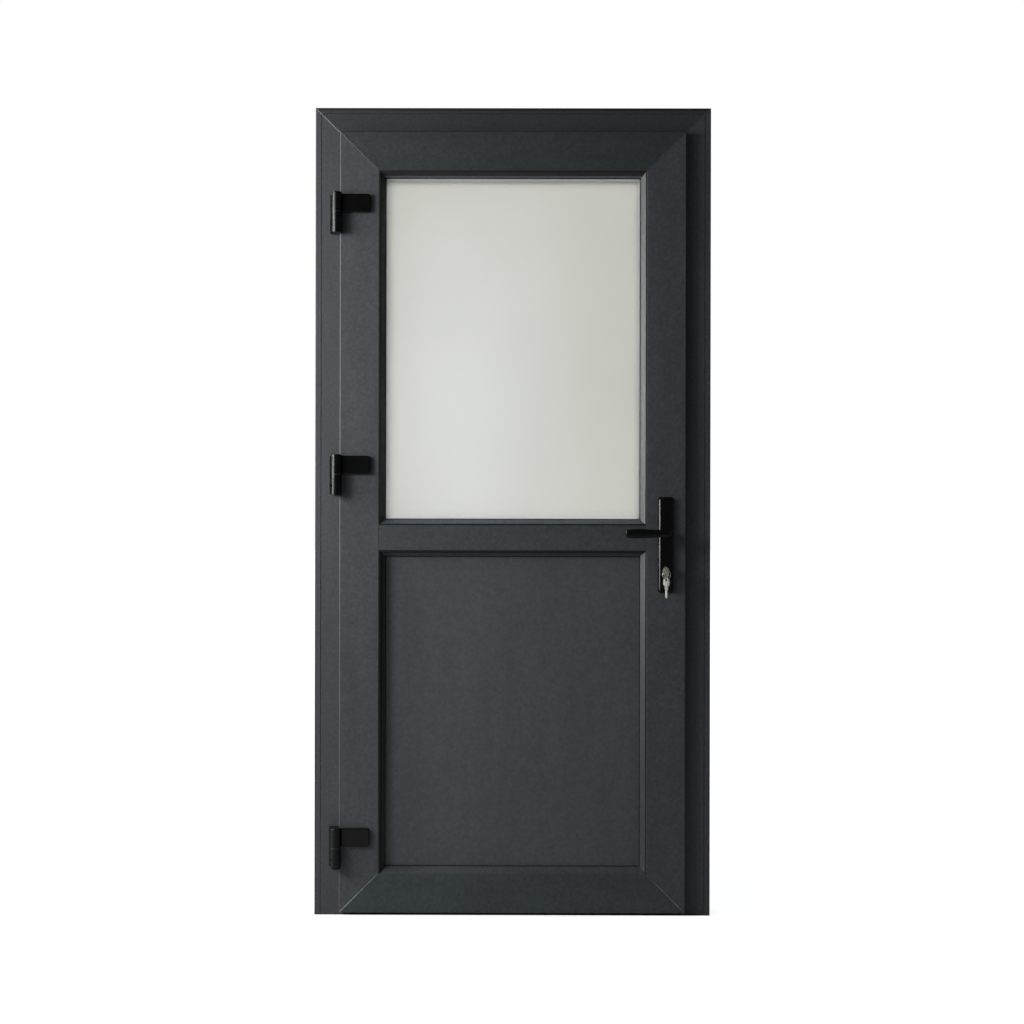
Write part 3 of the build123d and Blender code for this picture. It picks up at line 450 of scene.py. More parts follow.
@dataclass(frozen=True)
class Grained:
    """A finish with fine noise in its colour, gloss and surface, for coats, plastics, rubber and metals."""

    name: str
    shades: tuple[str, str]
    grain_mm: float
    roughness: tuple[float, float]
    bump_mm: float
    ior: float = 1.5
    metallic: float = 0.0
    stretch: tuple[float, float, float] = (1.0, 1.0, 1.0)
    detail: float = 4.0
    sheen: float = 0.5
    drift_ratio: float = 22.0  # how much broader the slow drift in tone and gloss is than the grain
    grain_share: float = 0.5

    def build(self) -> bpy.types.Material:
        """Builds the material.

        Returns:
            The material.
        """
        material, tree, place = start_material(self.name)
        mapped = add(tree, "Mapping", {"Scale": self.stretch}, {"Vector": place}).outputs["Vector"]
        grain = noise(tree, mapped, self.grain_mm, self.detail)
        drift = noise(tree, place, self.grain_mm * self.drift_ratio, detail=2.0)
        both = layer(tree, grain, self.grain_share, drift)
        tint = ramp(tree, both, (0.5, self.shades[0]), (1.0, self.shades[1]))
        gloss = spread(tree, drift, *self.roughness)
        bump = emboss(tree, grain, strength=0.3, depth_mm=self.bump_mm)
        values = {"Metallic": self.metallic}
        if not self.metallic:
            values.update({"IOR": self.ior, "Specular IOR Level": self.sheen})
        surface(tree, values, tint, gloss, bump)
        return material


@dataclass(frozen=True)
class Galvanised:
    """Hot-dip galvanised steel: a dull silver with the flat crystals of its zinc skin."""

    name: str
    shades: tuple[str, str] = ("#8A8E90", "#B0B4B5")
    spangle_mm: float = 9.0
    roughness: tuple[float, float] = (0.35, 0.55)

    def build(self) -> bpy.types.Material:
        """Builds the material.

        Returns:
            The material.
        """
        material, tree, place = start_material(self.name)
        cells = add(tree, "TexVoronoi", {"Scale": scale_of(self.spangle_mm)}, {"Vector": place})
        grey = add(tree, "RGBToBW", links={"Color": cells.outputs["Color"]}).outputs["Val"]
        tint = ramp(tree, grey, (0.2, self.shades[0]), (0.8, self.shades[1]))
        gloss = spread(tree, grey, *self.roughness)
        surface(tree, {"Metallic": 1.0}, tint, gloss)
        return material


class Finishes:
    """Every finish on the door, built once."""

    # Outside this box the outer frame's foil is painted dark along its left and upper edge
    FRAME_UNDARKENED = Box(left=-0.4872, right=1.0, low=-1.0, high=1.9925)
    # A dark band is painted round these openings: the snap-in joint's dark line, widened into a painted
    # shadow at the left and the top, where the beads stand in the sash's shadow
    BEAD_SHADOW_OPENINGS = {
        "glass": Box(left=-0.3245, right=0.3272, low=0.9698, high=1.8290),
        "panel": Box(left=-0.3205, right=0.3272, low=0.0, high=0.8970),
    }
    # The level beads' paler tones are painted light from above on the bottom beads, strongest on the glass's
    BEAD_SHADES = {
        ("glass", Run.UPRIGHT): ("#24262A", "#2B2D31", "#323438"),
        ("panel", Run.UPRIGHT): ("#24262A", "#2B2D31", "#323438"),
        ("glass", Run.LEVEL): ("#40464A", "#4A5055", "#545A5F"),
        ("panel", Run.LEVEL): ("#2C3237", "#353B40", "#3E4449"),
    }
    # Painted shade for the top rail and the head
    TOP_PAINTED_SHADE_TONES = ("#1F2426", "#262B2D", "#2E3335")

    def __init__(self) -> None:
        """Builds the materials."""
        # Stiles: anthracite foil with the grain running up. Jambs: the same, painted dark along the outer
        # edge
        self.foil_upright = FoiledPvc("foiled_pvc_upright", Run.UPRIGHT).build()
        self.foil_jamb = FoiledPvc("foiled_pvc_jamb", Run.UPRIGHT, undarkened=self.FRAME_UNDARKENED).build()
        # Transom: the grain runs across, and the same foil is painted a shade darker than on the stiles:
        # painted shade for the weaker sheen off a crosswise grain
        self.foil_level_shaded = FoiledPvc(
            "foiled_pvc_level_shaded", Run.LEVEL, shades=("#2C2F34", "#33363B", "#3B3F44")
        ).build()
        # Bottom rail: the same foil painted darker and greener, as painted shade towards the floor
        self.foil_foot_shaded = FoiledPvc(
            "foiled_pvc_foot_shaded", Run.LEVEL, shades=("#252D30", "#2D3538", "#353E42")
        ).build()
        # Top rail and head: the same foil painted the darkest of the bars, with a green tinge, as painted
        # shade towards the top
        self.foil_top_shaded = FoiledPvc("foiled_pvc_top_shaded", Run.LEVEL, shades=self.TOP_PAINTED_SHADE_TONES).build()
        self.foil_head_shaded = FoiledPvc(
            "foiled_pvc_head_shaded", Run.LEVEL, shades=self.TOP_PAINTED_SHADE_TONES, undarkened=self.FRAME_UNDARKENED
        ).build()
        # Glazing beads: a smoother foil, darker on the uprights, painted paler on the level beads as painted
        # light from above, and with a painted shadow beside each opening
        self.beads = {
            (name, run): FoiledPvc(
                f"foiled_pvc_{name}_bead_{run.value}", run, shades=shades, roughness=(0.36, 0.46),
                undarkened=self.BEAD_SHADOW_OPENINGS[name],
            ).build()
            for (name, run), shades in self.BEAD_SHADES.items()
        }
        # Lower panel: a little lighter than the bars, with a broader mottle
        self.foil_panel = FoiledPvc(
            "foiled_pvc_panel", Run.UPRIGHT, pebble_mm=9.0, shades=("#3B3C41", "#414247", "#47484D")
        ).build()
        self.glass = OpalGlass("satin_opal_glass").build()
        self.clear_glass = ClearGlass("clear_float_glass").build()
        # Powder-coated zinc casting: near black, satin, with a slight orange peel
        self.black = Grained(
            "powder_coated_zinc", ("#040405", "#080809"),
            grain_mm=1.1, roughness=(0.2, 0.28), bump_mm=0.03, sheen=0.25,
        ).build()
        # Weld flash at the mitres, cut flat: paler than the foil, and broken where the foil was touched up
        self.weld = Grained(
            "weld_flash", ("#34373A", "#83878A"),
            grain_mm=4.0, roughness=(0.5, 0.65), bump_mm=0.1, detail=2.0,
        ).build()
        # A darker flash, nearly the foil's own tone: on the sash's top corners, and as painted shade on the
        # frame's lock corner
        self.dark_weld = Grained(
            "dark_weld_flash", ("#26292C", "#3B3F42"),
            grain_mm=5.0, roughness=(0.5, 0.65), bump_mm=0.1, detail=2.0,
        ).build()
        # Extruded EPDM: flat black, a little dusty
        self.rubber = Grained(
            "extruded_epdm", ("#0B0B0B", "#1D1D1D"),
            grain_mm=1.6, roughness=(0.7, 0.85), bump_mm=0.05, ior=1.48,
        ).build()
        # Anodised aluminium extrusion, dark: fine draw lines along it
        self.dark_metal = Grained(
            "dark_anodised_aluminium", ("#1E1F21", "#2E2F31"),
            grain_mm=1.2, roughness=(0.35, 0.5), bump_mm=0.03, metallic=1.0, stretch=(0.04, 1.0, 1.0),
        ).build()
        # Mill-finish aluminium: pale grey with draw lines
        self.pale_metal = Grained(
            "mill_aluminium", ("#7F8285", "#9A9D9F"),
            grain_mm=1.0, roughness=(0.35, 0.5), bump_mm=0.03, metallic=1.0, stretch=(0.04, 1.0, 0.04),
        ).build()
        # Nickel-plated brass: warm silver, handled and slightly scratched
        self.nickel = Grained(
            "nickel_plated_brass", ("#B3B0A8", "#D6D4CC"),
            grain_mm=0.7, roughness=(0.3, 0.45), bump_mm=0.03, metallic=1.0, stretch=(1.0, 1.0, 0.2),
        ).build()
        # Zinc-plated steel: bright, fine and a little blue
        self.zinc = Grained(
            "zinc_plated_steel", ("#9EA3A6", "#C2C6C8"),
            grain_mm=0.5, roughness=(0.25, 0.4), bump_mm=0.02, metallic=1.0,
        ).build()
        # Cold-rolled lock steel: grey with rolling lines along its height
        self.steel = Grained(
            "cold_rolled_steel", ("#85888A", "#A9ACAE"),
            grain_mm=0.8, roughness=(0.3, 0.45), bump_mm=0.02, metallic=1.0, stretch=(1.0, 1.0, 0.08),
        ).build()
        # Moulded polyamide: black and matt
        self.nylon = Grained(
            "moulded_nylon", ("#141414", "#202020"),
            grain_mm=0.9, roughness=(0.5, 0.65), bump_mm=0.04, ior=1.53,
        ).build()
        # Moulded polypropylene packers: blue, waxy
        self.packer = Grained(
            "moulded_polypropylene", ("#2C4C6B", "#3C6084"),
            grain_mm=1.5, roughness=(0.4, 0.55), bump_mm=0.04,
        ).build()
        self.galvanised = Galvanised("hot_dip_galvanised_steel").build()


def dress(material: bpy.types.Material, *names: str) -> None:
    """Gives CAD nodes a finish.

    Args:
        material: The finish.
        names: The nodes.
    """
    for name in names:
        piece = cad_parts[name]
        if not piece.material_slots:
            piece.data.materials.append(material)
        for slot in piece.material_slots:
            slot.material = material


class Bench:
    """Blender's modelling operators, each as one step on one piece."""

    @staticmethod
    def clear() -> None:
        """Deselects everything, because an operator acts on all that is selected."""
        if bpy.context.mode != "OBJECT":
            bpy.ops.object.mode_set(mode="OBJECT")
        bpy.ops.object.select_all(action="DESELECT")

    @staticmethod
    def take(piece: bpy.types.Object) -> None:
        """Selects one piece and makes it active.

        Args:
            piece: The mesh object.
        """
        Bench.clear()
        bpy.context.view_layer.objects.active = piece
        piece.select_set(True)

    @staticmethod
    def block(low: Vector, high: Vector) -> bpy.types.Object:
        """Adds a block between two corners.

        Args:
            low: Its lowest corner, in millimetres.
            high: Its highest corner, in millimetres.

        Returns:
            The block.
        """
        Bench.clear()
        middle = (low + high) / 2 * MM
        bpy.ops.mesh.primitive_cube_add(size=1, location=middle, scale=(high - low) * MM)
        bpy.ops.object.transform_apply(location=True, rotation=True, scale=True)
        return bpy.context.object

    @staticmethod
    def rod(start: Vector, end: Vector, radius: float, sides: int = 48) -> bpy.types.Object:
        """Adds a round bar from one point to another.

        Args:
            start: The middle of its first end, in millimetres.
            end: The middle of its last end, in millimetres.
            radius: Its radius, in millimetres.
            sides: How many faces go round it.

        Returns:
            The bar.
        """
        Bench.clear()
        line = end - start
        turn = line.to_track_quat("Z", "Y").to_euler()
        bpy.ops.mesh.primitive_cylinder_add(
            vertices=sides, radius=radius * MM, depth=line.length * MM,
            location=(start + end) / 2 * MM, rotation=turn,
        )
        bpy.ops.object.transform_apply(location=True, rotation=True, scale=True)
        return bpy.context.object

    @staticmethod
    def pick(piece: bpy.types.Object, test: Callable[[Vector], bool]) -> None:
        """Goes to edit mode with only the faces selected that pass a test.

        Args:
            piece: The mesh object.
            test: Says yes or no to a face's normal.
        """
        Bench.take(piece)
        bpy.ops.object.mode_set(mode="EDIT")
        bpy.context.tool_settings.mesh_select_mode = (False, False, True)
        bpy.ops.mesh.select_all(action="DESELECT")
        bpy.ops.object.mode_set(mode="OBJECT")
        for face in piece.data.polygons:
            face.select = test(face.normal)
        bpy.ops.object.mode_set(mode="EDIT")

    @staticmethod
    def modify(piece: bpy.types.Object, kind: str, **settings: Any) -> None:
        """Adds a modifier and applies it.

        Args:
            piece: The mesh object.
            kind: The modifier's type.
            settings: Its properties.
        """
        Bench.take(piece)
        modifier = piece.modifiers.new(kind.lower(), kind)
        for name, value in settings.items():
            setattr(modifier, name, value)
        bpy.ops.object.modifier_apply(modifier=modifier.name)

    @staticmethod
    def combine(piece: bpy.types.Object, tool: bpy.types.Object, operation: str) -> None:
        """Joins a tool to a piece or cuts it away, and removes the tool.

        Args:
            piece: The mesh object that stays.
            tool: The other one.
            operation: "UNION" or "DIFFERENCE".
        """
        Bench.modify(piece, "BOOLEAN", object=tool, operation=operation, solver="EXACT")
        bpy.data.objects.remove(tool)

    @staticmethod
    def finish(piece: bpy.types.Object, smooth_angle: float = 35.0, merge: float = 0.01) -> None:
        """Merges doubles, turns the faces outwards and shades the piece.

        Args:
            piece: The mesh object.
            smooth_angle: Edges sharper than this, in degrees, stay crisp.
            merge: Points closer than this, in millimetres, become one.
        """
        Bench.take(piece)
        bpy.ops.object.mode_set(mode="EDIT")
        bpy.ops.mesh.select_all(action="SELECT")
        bpy.ops.mesh.remove_doubles(threshold=merge * MM)
        bpy.ops.mesh.normals_make_consistent(inside=False)
        bpy.ops.object.mode_set(mode="OBJECT")
        bpy.ops.object.shade_smooth_by_angle(angle=math.radians(smooth_angle))
        bpy.ops.object.select_all(action="DESELECT")


def settle(
    piece: bpy.types.Object, name: str, body: str, slot: str, material: bpy.types.Material, *replaced: str
) -> None:
    """Names a new piece, dresses it, and puts it on its body in place of CAD nodes.

    Args:
        piece: The mesh object.
        name: Its name.
        body: The CAD body that it rides on.
        slot: The record's material slot; not used.
        material: Its finish.
        replaced: The CAD nodes that it stands for.
    """
    piece.name = name
    piece.data.name = name
    piece.data.materials.clear()
    piece.data.materials.append(material)
    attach(piece, body)
    if replaced:
        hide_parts(*replaced)
    LOG.info("piece %s: %d faces", name, len(piece.data.polygons))


@dataclass
class OuterFrame:
    """The frame: jambs, head, threshold, seal, keep and the steel inside."""

    finishes: Finishes

    def dress(self) -> None:
        """Gives the frame's nodes their finishes."""
        dress(self.finishes.foil_jamb, "frame_hinge_jamb", "frame_lock_jamb")
        dress(self.finishes.foil_head_shaded, "frame_head")
        dress(self.finishes.dark_metal, "threshold")
        dress(self.finishes.rubber, "frame_seal")
        dress(self.finishes.galvanised, "frame_reinforcement")
        dress(self.finishes.steel, "lock_keep")
        dress(self.finishes.zinc, "keep_screws")
        LOG.info("outer frame dressed")


@dataclass
class Sash:
    """The sash: stiles, rails, transom, beads, panel, seals and the steel inside."""

    finishes: Finishes

    def dress(self) -> None:
        """Gives the sash's nodes their finishes."""
        dress(self.finishes.foil_upright, "sash_hinge_stile", "sash_lock_stile")
        dress(self.finishes.foil_level_shaded, "sash_transom")
        dress(self.finishes.foil_foot_shaded, "sash_bottom_rail")
        for pane in ("glass", "panel"):
            dress(self.finishes.beads[pane, Run.UPRIGHT], f"{pane}_side_beads")
            dress(self.finishes.beads[pane, Run.LEVEL], f"{pane}_level_beads")
        dress(self.finishes.foil_top_shaded, "sash_top_rail")
        dress(self.finishes.foil_panel, "lower_panel")
        dress(self.finishes.rubber, "sash_seal", "glass_seals", "panel_seals")
        dress(self.finishes.galvanised, "sash_reinforcement")
        dress(self.finishes.packer, "setting_blocks")
        dress(self.finishes.glass, "glass_front_pane")
        dress(self.finishes.clear_glass, "glass_back_pane")
        dress(self.finishes.pale_metal, "glass_spacer")
        LOG.info("sash dressed")


@dataclass
class Trim:
    """Weld flash along the mitres of the sash and the frame: thin beads with flat feet. In millimetres."""

    finishes: Finishes
    sash_half: float = 427.0
    sash_low: float = 10.0
    sash_high: float = 1937.0
    sash_face: float = 97.0
    sash_y: float = -53.0
    frame_half: float = 490.0
    frame_high: float = 2000.0
    frame_y: float = -35.0
    bead_radius: float = 2.6
    bead_height: float = 0.4  # how far a bead stands out of the profile's face
    bead_root: float = 0.3  # how far it reaches in behind the face
    corner_gap: float = 3.0  # how far its end stays away from the profiles' edges

    def seam(
        self, name: str, body: str, material: bpy.types.Material, outer: tuple[float, float],
        inner: tuple[float, float], y: float,
    ) -> None:
        """Lays a line of weld flash along one mitre.

        Args:
            name: The piece's name.
            body: The CAD body that it rides on.
            material: Its finish.
            outer: Its outer end's X and Z.
            inner: Its inner end's X and Z.
            y: The profile's face.
        """
        deep = y + self.bead_radius - self.bead_height
        line = Bench.rod(
            Vector((outer[0], deep, outer[1])), Vector((inner[0], deep, inner[1])), self.bead_radius
        )
        Bench.pick(line, lambda normal: True)
        bpy.ops.mesh.bisect(
            plane_co=(0, (y + self.bead_root) * MM, 0), plane_no=(0, 1, 0), use_fill=True, clear_outer=True
        )
        Bench.clear()
        Bench.finish(line)
        settle(line, name, body, "foiled_pvc", material)

    def build_seams(self) -> None:
        """Lays the weld lines at the sash's four corners and the frame's two."""
        gap = self.corner_gap
        reach = self.sash_face - gap / 2
        # The frame's lock corner takes the darker flash as painted shade
        corners = (("hinge", -1.0, self.finishes.weld), ("lock", 1.0, self.finishes.dark_weld))
        for side, sign, corner_finish in corners:
            out = sign * (self.sash_half - gap)
            into = sign * (self.sash_half - self.sash_face + gap / 2)
            self.seam(
                f"sash_top_{side}_weld", "sash", self.finishes.dark_weld, (out, self.sash_high - gap),
                (into, self.sash_high - reach), self.sash_y,
            )
            self.seam(
                f"sash_foot_{side}_weld", "sash", self.finishes.weld, (out, self.sash_low + gap),
                (into, self.sash_low + reach), self.sash_y,
            )
            self.seam(
                f"frame_{side}_weld", "frame", corner_finish,
                (sign * (self.frame_half - gap), self.frame_high - gap),
                (sign * (self.sash_half + gap), self.sash_high + gap), self.frame_y,
            )


@dataclass
class Hinges:
    """Three surface hinges with moulded covers and caps."""

    finishes: Finishes

    def dress(self) -> None:
        """Gives the hinges' nodes their finishes."""
        for place in ("bottom", "middle", "top"):
            dress(self.finishes.black, f"hinge_{place}_sash_leaf", f"hinge_{place}_frame_leaf")
        dress(self.finishes.black, "hinge_covers", "hinge_top_caps", "hinge_foot_caps", "frame_leaf_screws")
        dress(self.finishes.nylon, "hinge_bushes")
        dress(self.finishes.steel, "hinge_pins")
        dress(self.finishes.zinc, "sash_leaf_screws")
        LOG.info("hinges dressed")


@dataclass
class Levers:
    """A pair of cast levers: a round neck with a collar, and a grip that swells and then rounds off. In
    millimetres."""

    finishes: Finishes
    axis_x: float = 377.0
    axis_z: float = 947.0
    plate_y: dict[Side, float] = field(default_factory=lambda: {Side.FRONT: -62.0, Side.BACK: 26.0})
    neck_length: float = 36.0
    neck_gap: float = 0.2  # between the neck's foot and the plate, so that the lever turns freely
    neck_radius: float = 8.6
    collar_radius: float = 11.0
    collar_height: float = 2.4
    collar_edge: float = 0.8
    # Along the grip from its outer end: how far out, half height and half thickness
    stations: tuple[tuple[float, float, float], ...] = (
        (9.0, 7.6, 4.4), (-2.0, 9.8, 5.8), (-16.0, 9.9, 5.9), (-40.0, 11.0, 6.0), (-66.0, 12.2, 5.9),
        (-88.0, 12.6, 5.6), (-99.0, 11.2, 4.9), (-103.5, 8.4, 3.4),
    )
    grip_thickness: float = 12.0
    grip_levels: int = 3
    smooth_angle: float = 40.0

    def build_grip(self, centre: float) -> bpy.types.Object:
        """Models the grip: a block drawn out from station to station and then smoothed.

        Args:
            centre: The Y of its middle.

        Returns:
            The grip.
        """
        first, *rest = self.stations
        grip = Bench.block(
            Vector((self.axis_x + rest[0][0], centre - first[2], self.axis_z - first[1])),
            Vector((self.axis_x + first[0], centre + first[2], self.axis_z + first[1])),
        )
        reached, half_height, half_thick = rest[0][0], first[1], first[2]
        Bench.pick(grip, lambda normal: normal.x < -FACING)
        pivot = Vector((self.axis_x + reached, centre, self.axis_z)) * MM
        for along, tall, thick in rest:
            step = along - reached
            if step:
                bpy.ops.mesh.extrude_region_move(TRANSFORM_OT_translate={"value": (step * MM, 0, 0)})
                pivot.x += step * MM
            bpy.ops.transform.resize(
                value=(1, thick / half_thick, tall / half_height), center_override=pivot
            )
            reached, half_height, half_thick = along, tall, thick
        Bench.clear()
        Bench.modify(grip, "SUBSURF", levels=self.grip_levels, render_levels=self.grip_levels)
        return grip

    def build(self, side: Side) -> None:
        """Models one lever and puts it in place of the CAD's.

        Args:
            side: The door's face that it is on.
        """
        out = -1.0 if side is Side.FRONT else 1.0
        plate = self.plate_y[side]
        centre = plate + out * self.neck_length + out * self.grip_thickness / 2
        grip = self.build_grip(centre)
        start = Vector((self.axis_x, plate + out * self.neck_gap, self.axis_z))
        neck = Bench.rod(start, Vector((self.axis_x, centre, self.axis_z)), self.neck_radius)
        collar = Bench.rod(
            start, Vector((self.axis_x, plate + out * self.collar_height, self.axis_z)), self.collar_radius
        )
        Bench.modify(collar, "BEVEL", width=self.collar_edge * MM, segments=3, limit_method="ANGLE")
        Bench.combine(neck, collar, "UNION")
        Bench.combine(grip, neck, "UNION")
        Bench.finish(grip, self.smooth_angle)
        node = f"{side.value}_lever"
        settle(grip, node + "_cast", "levers", "black_hardware", self.finishes.black, node)


@dataclass
class Lock:
    """Handle plates with the front one's foot, lock case, faceplate, bolts and cylinder. In millimetres."""

    finishes: Finishes
    plate_x: tuple[float, float] = (360.0, 394.0)
    plate_z: tuple[float, float] = (802.0, 1034.0)
    foot_out: float = 2.4  # how far the foot stands out beyond the plate
    foot_y: tuple[float, float] = (-56.0, -53.1)
    foot_corner: float = 9.0
    foot_edge: float = 0.5
    sharp: float = 0.9  # edges sharper than this, in radians, are rounded
    # How far the foot reaches in under the plate at its sides and at its rounded ends
    lap_side: float = 0.5
    lap_end: float = 3.0
    cut_over: float = 1.0  # how far the tool that hollows it out stands proud of it

    def dress(self) -> None:
        """Gives the lock's nodes their finishes."""
        dress(self.finishes.black, "front_backplate", "back_backplate")
        dress(self.finishes.zinc, "backplate_screws", "faceplate_screws", "cylinder_screw")
        dress(
            self.finishes.steel, "lock_case", "lock_faceplate", "lock_follower", "spindle", "latch_bolt",
            "dead_bolt",
        )
        dress(self.finishes.nickel, "cylinder_body", "cylinder_rear_plug", "cylinder_plug")
        LOG.info("lock dressed")

    def build_foot(self) -> None:
        """Models the flat foot that the front plate stands on, a little broader than the plate."""
        (x0, x1), (z0, z1), (y0, y1) = self.plate_x, self.plate_z, self.foot_y
        out, side, end, over = self.foot_out, self.lap_side, self.lap_end, self.cut_over
        foot = Bench.block(Vector((x0 - out, y0, z0 - out)), Vector((x1 + out, y1, z1 + out)))
        Bench.pick(foot, lambda normal: abs(normal.y) > FACING)
        bpy.ops.mesh.select_mode(type="EDGE")
        bpy.ops.mesh.select_all(action="INVERT")
        bpy.ops.mesh.bevel(offset=self.foot_corner * MM, segments=10, affect="EDGES")
        Bench.clear()
        inside = Bench.block(
            Vector((x0 + side, y0 - over, z0 + end)), Vector((x1 - side, y1 + over, z1 - end))
        )
        Bench.combine(foot, inside, "DIFFERENCE")
        Bench.modify(
            foot, "BEVEL", width=self.foot_edge * MM, segments=2, limit_method="ANGLE", angle_limit=self.sharp
        )
        Bench.finish(foot)
        settle(foot, "front_plate_foot", "sash", "black_hardware", self.finishes.black)


@dataclass
class Keys:
    """The key in the lock, the split ring and the spare key on it."""

    finishes: Finishes

    def dress(self) -> None:
        """Gives the keys' nodes their finishes."""
        dress(self.finishes.nickel, "key", "spare_key", "key_ring")
        LOG.info("keys dressed")


@dataclass(frozen=True)
class Lamp:
    """A soft rectangular lamp, with its size and places in metres."""

    name: str
    at: tuple[float, float, float]
    towards: tuple[float, float, float]
    size: tuple[float, float]
    power: float  # in watts

    def build(self) -> None:
        """Hangs the lamp and turns it to the point that it faces."""
        data = bpy.data.lights.new(self.name, "AREA")
        data.shape = "RECTANGLE"
        data.size, data.size_y = self.size
        data.energy = self.power
        lamp = bpy.data.objects.new(self.name, data)
        lamp.location = self.at
        lamp.rotation_mode = "QUATERNION"
        lamp.rotation_quaternion = (Vector(self.towards) - Vector(self.at)).to_track_quat("-Z", "Y")
        bpy.context.scene.collection.objects.link(lamp)


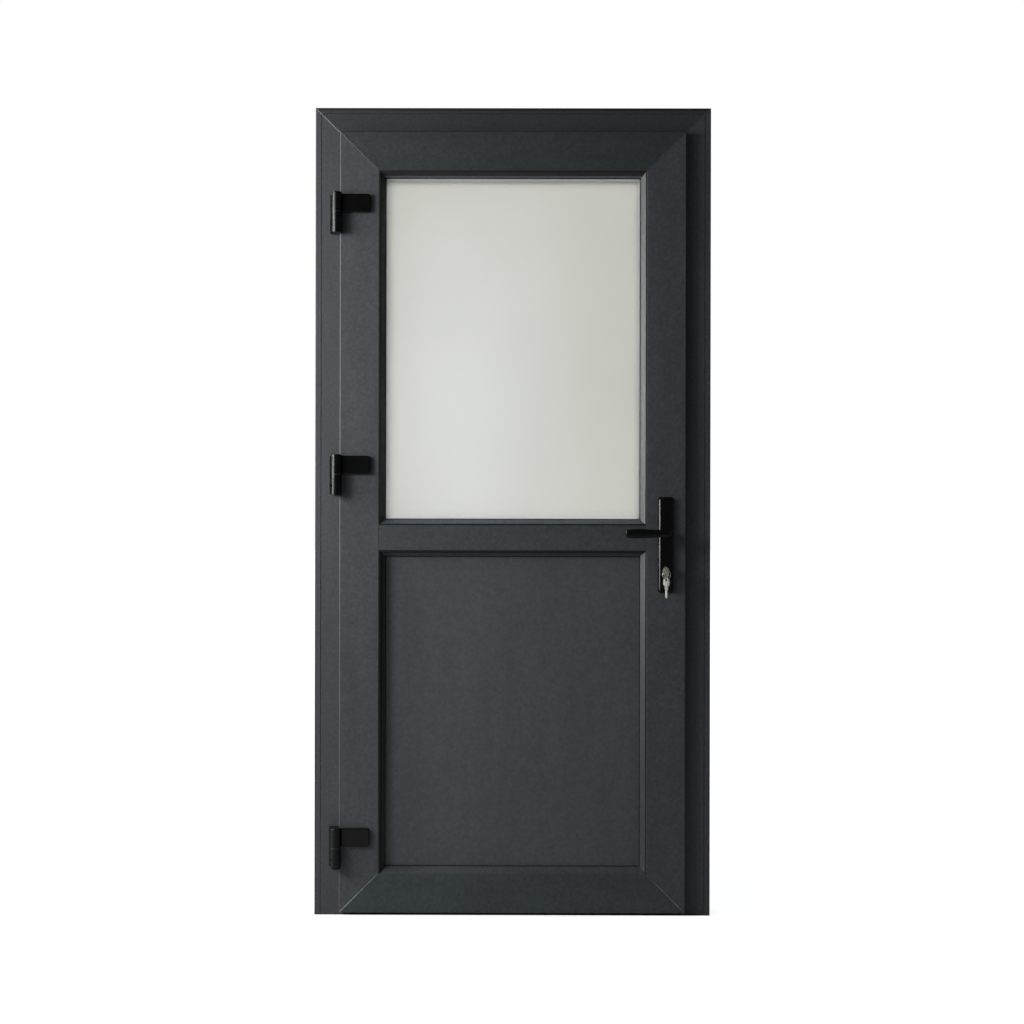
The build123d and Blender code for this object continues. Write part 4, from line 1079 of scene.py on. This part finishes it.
@dataclass
class Studio:
    """A pale floor, white surroundings, soft lamps at the left and the photograph's camera."""

    # The camera: its place in metres, its lens and sensor in millimetres and its small turns in degrees
    eye: tuple[float, float, float] = (0.007, -3.2, 0.998)
    lens: float = 44.91
    sensor: float = 36.0
    pitch: float = 0.013
    yaw: float = -0.155
    roll: float = 0.113
    # Window and side lamp light the door from the left. The side lamp hangs nearly in the door's plane,
    # which draws the bright lines on the beads, the hinge barrels and the handle plate's edge
    lamps: tuple[Lamp, ...] = (
        Lamp("window_lamp", at=(-2.2, -1.2, 1.7), towards=(-0.1, 0.0, 1.25), size=(0.7, 1.0), power=56.0),
        Lamp("side_lamp", at=(-2.3, -0.4, 1.5), towards=(0.0, -0.05, 1.1), size=(0.35, 1.6), power=46.0),
        Lamp("room_lamp", at=(-2.6, -2.7, 2.3), towards=(0.0, 0.0, 1.0), size=(1.0, 1.0), power=20.0),
    )
    floor_size: float = 60.0
    floor_mottle_mm: float = 500.0
    # The floor's own white: a little dimmer near the door than far out, at these distances
    floor_glow: tuple[float, float] = (0.86, 0.99)
    glow_reach: tuple[float, float] = (1.0, 5.0)
    white: str = "#FFFFFF"
    daylight: str = "#E9EEF2"
    # The daylight's strength in front of the door and behind it, and between which directions it rises
    daylight_strength: tuple[float, float] = (0.06, 0.8)
    daylight_rise: tuple[float, float] = (0.05, 0.5)
    gloss_strength: float = 0.05  # how much of the white surroundings shows as a gloss

    def build(self) -> None:
        """Builds the whole studio."""
        self.build_floor()
        self.build_world()
        for lamp in self.lamps:
            lamp.build()
        self.add_camera()
        bpy.context.scene.view_settings.view_transform = "Standard"

    @staticmethod
    def ranged(
        tree: Tree, value: Socket, source: tuple[float, float], target: tuple[float, float], **settings: Any
    ) -> Socket:
        """Carries a value from one range to another.

        Args:
            tree: The node tree.
            value: The value.
            source: The range that it is read in.
            target: The range that it is given in.
            settings: The node's own properties.

        Returns:
            The answer's socket.
        """
        values = {"From Min": source[0], "From Max": source[1], "To Min": target[0], "To Max": target[1]}
        return add(tree, "MapRange", values, {"Value": value}, **settings).outputs["Result"]

    @staticmethod
    def seen_directly(tree: Tree) -> tuple[bpy.types.Node, Socket]:
        """Tells the rays apart.

        Args:
            tree: The node tree.

        Returns:
            The light path's node, and a socket that is 1 for what the camera sees, also through glass.
        """
        path = add(tree, "LightPath")
        return path, larger(tree, path.outputs["Is Camera Ray"], path.outputs["Is Transmission Ray"])

    def build_floor(self) -> None:
        """Lays the floor: nearly white to the camera and through the glass, with the door's shadow on it."""
        Bench.clear()
        bpy.ops.mesh.primitive_plane_add(size=self.floor_size, location=(0, 0, 0))
        floor = bpy.context.object
        floor.name = "floor"
        material, tree, place = start_material("pale_floor")
        mottle = noise(tree, place, self.floor_mottle_mm, detail=2.0)
        tint = ramp(tree, mottle, (0.3, "#B2B2B0"), (0.7, "#B7B7B5"))
        matt = add(tree, "BsdfPrincipled", {"Roughness": 0.8}, {"Base Color": tint})
        away = add(tree, "VectorMath", links={0: place}, operation="LENGTH").outputs["Value"]
        rise = self.ranged(tree, away, self.glow_reach, self.floor_glow)
        seen = self.seen_directly(tree)[1]
        lift = add(tree, "Math", links={0: seen, 1: rise}, operation="MULTIPLY")
        glow = add(tree, "Emission", {"Color": linear(self.white)}, {"Strength": lift.outputs[0]})
        both = add(tree, "AddShader", links={0: matt.outputs["BSDF"], 1: glow.outputs["Emission"]})
        add(tree, "OutputMaterial", links={"Surface": both.outputs["Shader"]})
        floor.data.materials.append(material)

    def build_world(self) -> None:
        """Makes the surroundings: white to the camera and through glass, dimmer as light and in gloss, and
        brighter behind the door than in front of it."""
        world = bpy.data.worlds.new("studio")
        bpy.context.scene.world = world
        world.use_nodes = True
        tree = world.node_tree
        tree.nodes.clear()
        path, through = self.seen_directly(tree)
        gloss = add(
            tree, "Math", {1: self.gloss_strength}, {0: path.outputs["Is Glossy Ray"]}, operation="MULTIPLY"
        )
        share = larger(tree, through, gloss.outputs[0])
        way = add(tree, "SeparateXYZ", links={0: add(tree, "TexCoord").outputs["Generated"]})
        behind = self.ranged(
            tree, way.outputs["Y"], self.daylight_rise, self.daylight_strength,
            interpolation_type="SMOOTHSTEP",
        )
        light = add(tree, "Background", {"Color": linear(self.daylight)}, {"Strength": behind})
        white = add(tree, "Background", {"Color": linear(self.white), "Strength": 1.0})
        mixed = add(
            tree, "MixShader",
            links={0: share, 1: light.outputs["Background"], 2: white.outputs["Background"]},
        )
        add(tree, "OutputWorld", links={"Surface": mixed.outputs["Shader"]})

    def add_camera(self) -> None:
        """Puts the camera at the photograph's place and angle."""
        pitch, yaw, roll = (math.radians(a) for a in (self.pitch, self.yaw, self.roll))
        ahead = Vector(
            (math.sin(yaw) * math.cos(pitch), math.cos(yaw) * math.cos(pitch), math.sin(pitch))
        )
        level = Vector((math.cos(yaw), -math.sin(yaw), 0.0))
        over = level.cross(ahead)
        right = math.cos(roll) * level + math.sin(roll) * over
        up = math.cos(roll) * over - math.sin(roll) * level
        data = bpy.data.cameras.new("camera")
        data.lens = self.lens
        data.sensor_width = self.sensor
        camera = bpy.data.objects.new("camera", data)
        turn = Matrix((right, up, -ahead)).transposed().to_4x4()
        camera.matrix_world = Matrix.Translation(Vector(self.eye)) @ turn
        bpy.context.scene.collection.objects.link(camera)
        bpy.context.scene.camera = camera


def main() -> None:
    """Builds and dresses the door, then the studio."""
    logging.basicConfig(level=logging.INFO, format="%(name)s: %(message)s")
    finishes = Finishes()
    OuterFrame(finishes).dress()
    Sash(finishes).dress()
    Trim(finishes).build_seams()
    Hinges(finishes).dress()
    levers = Levers(finishes)
    for side in Side:
        levers.build(side)
    lock = Lock(finishes)
    lock.dress()
    lock.build_foot()
    Keys(finishes).dress()
    Studio().build()


if __name__ == "__main__":
    main()
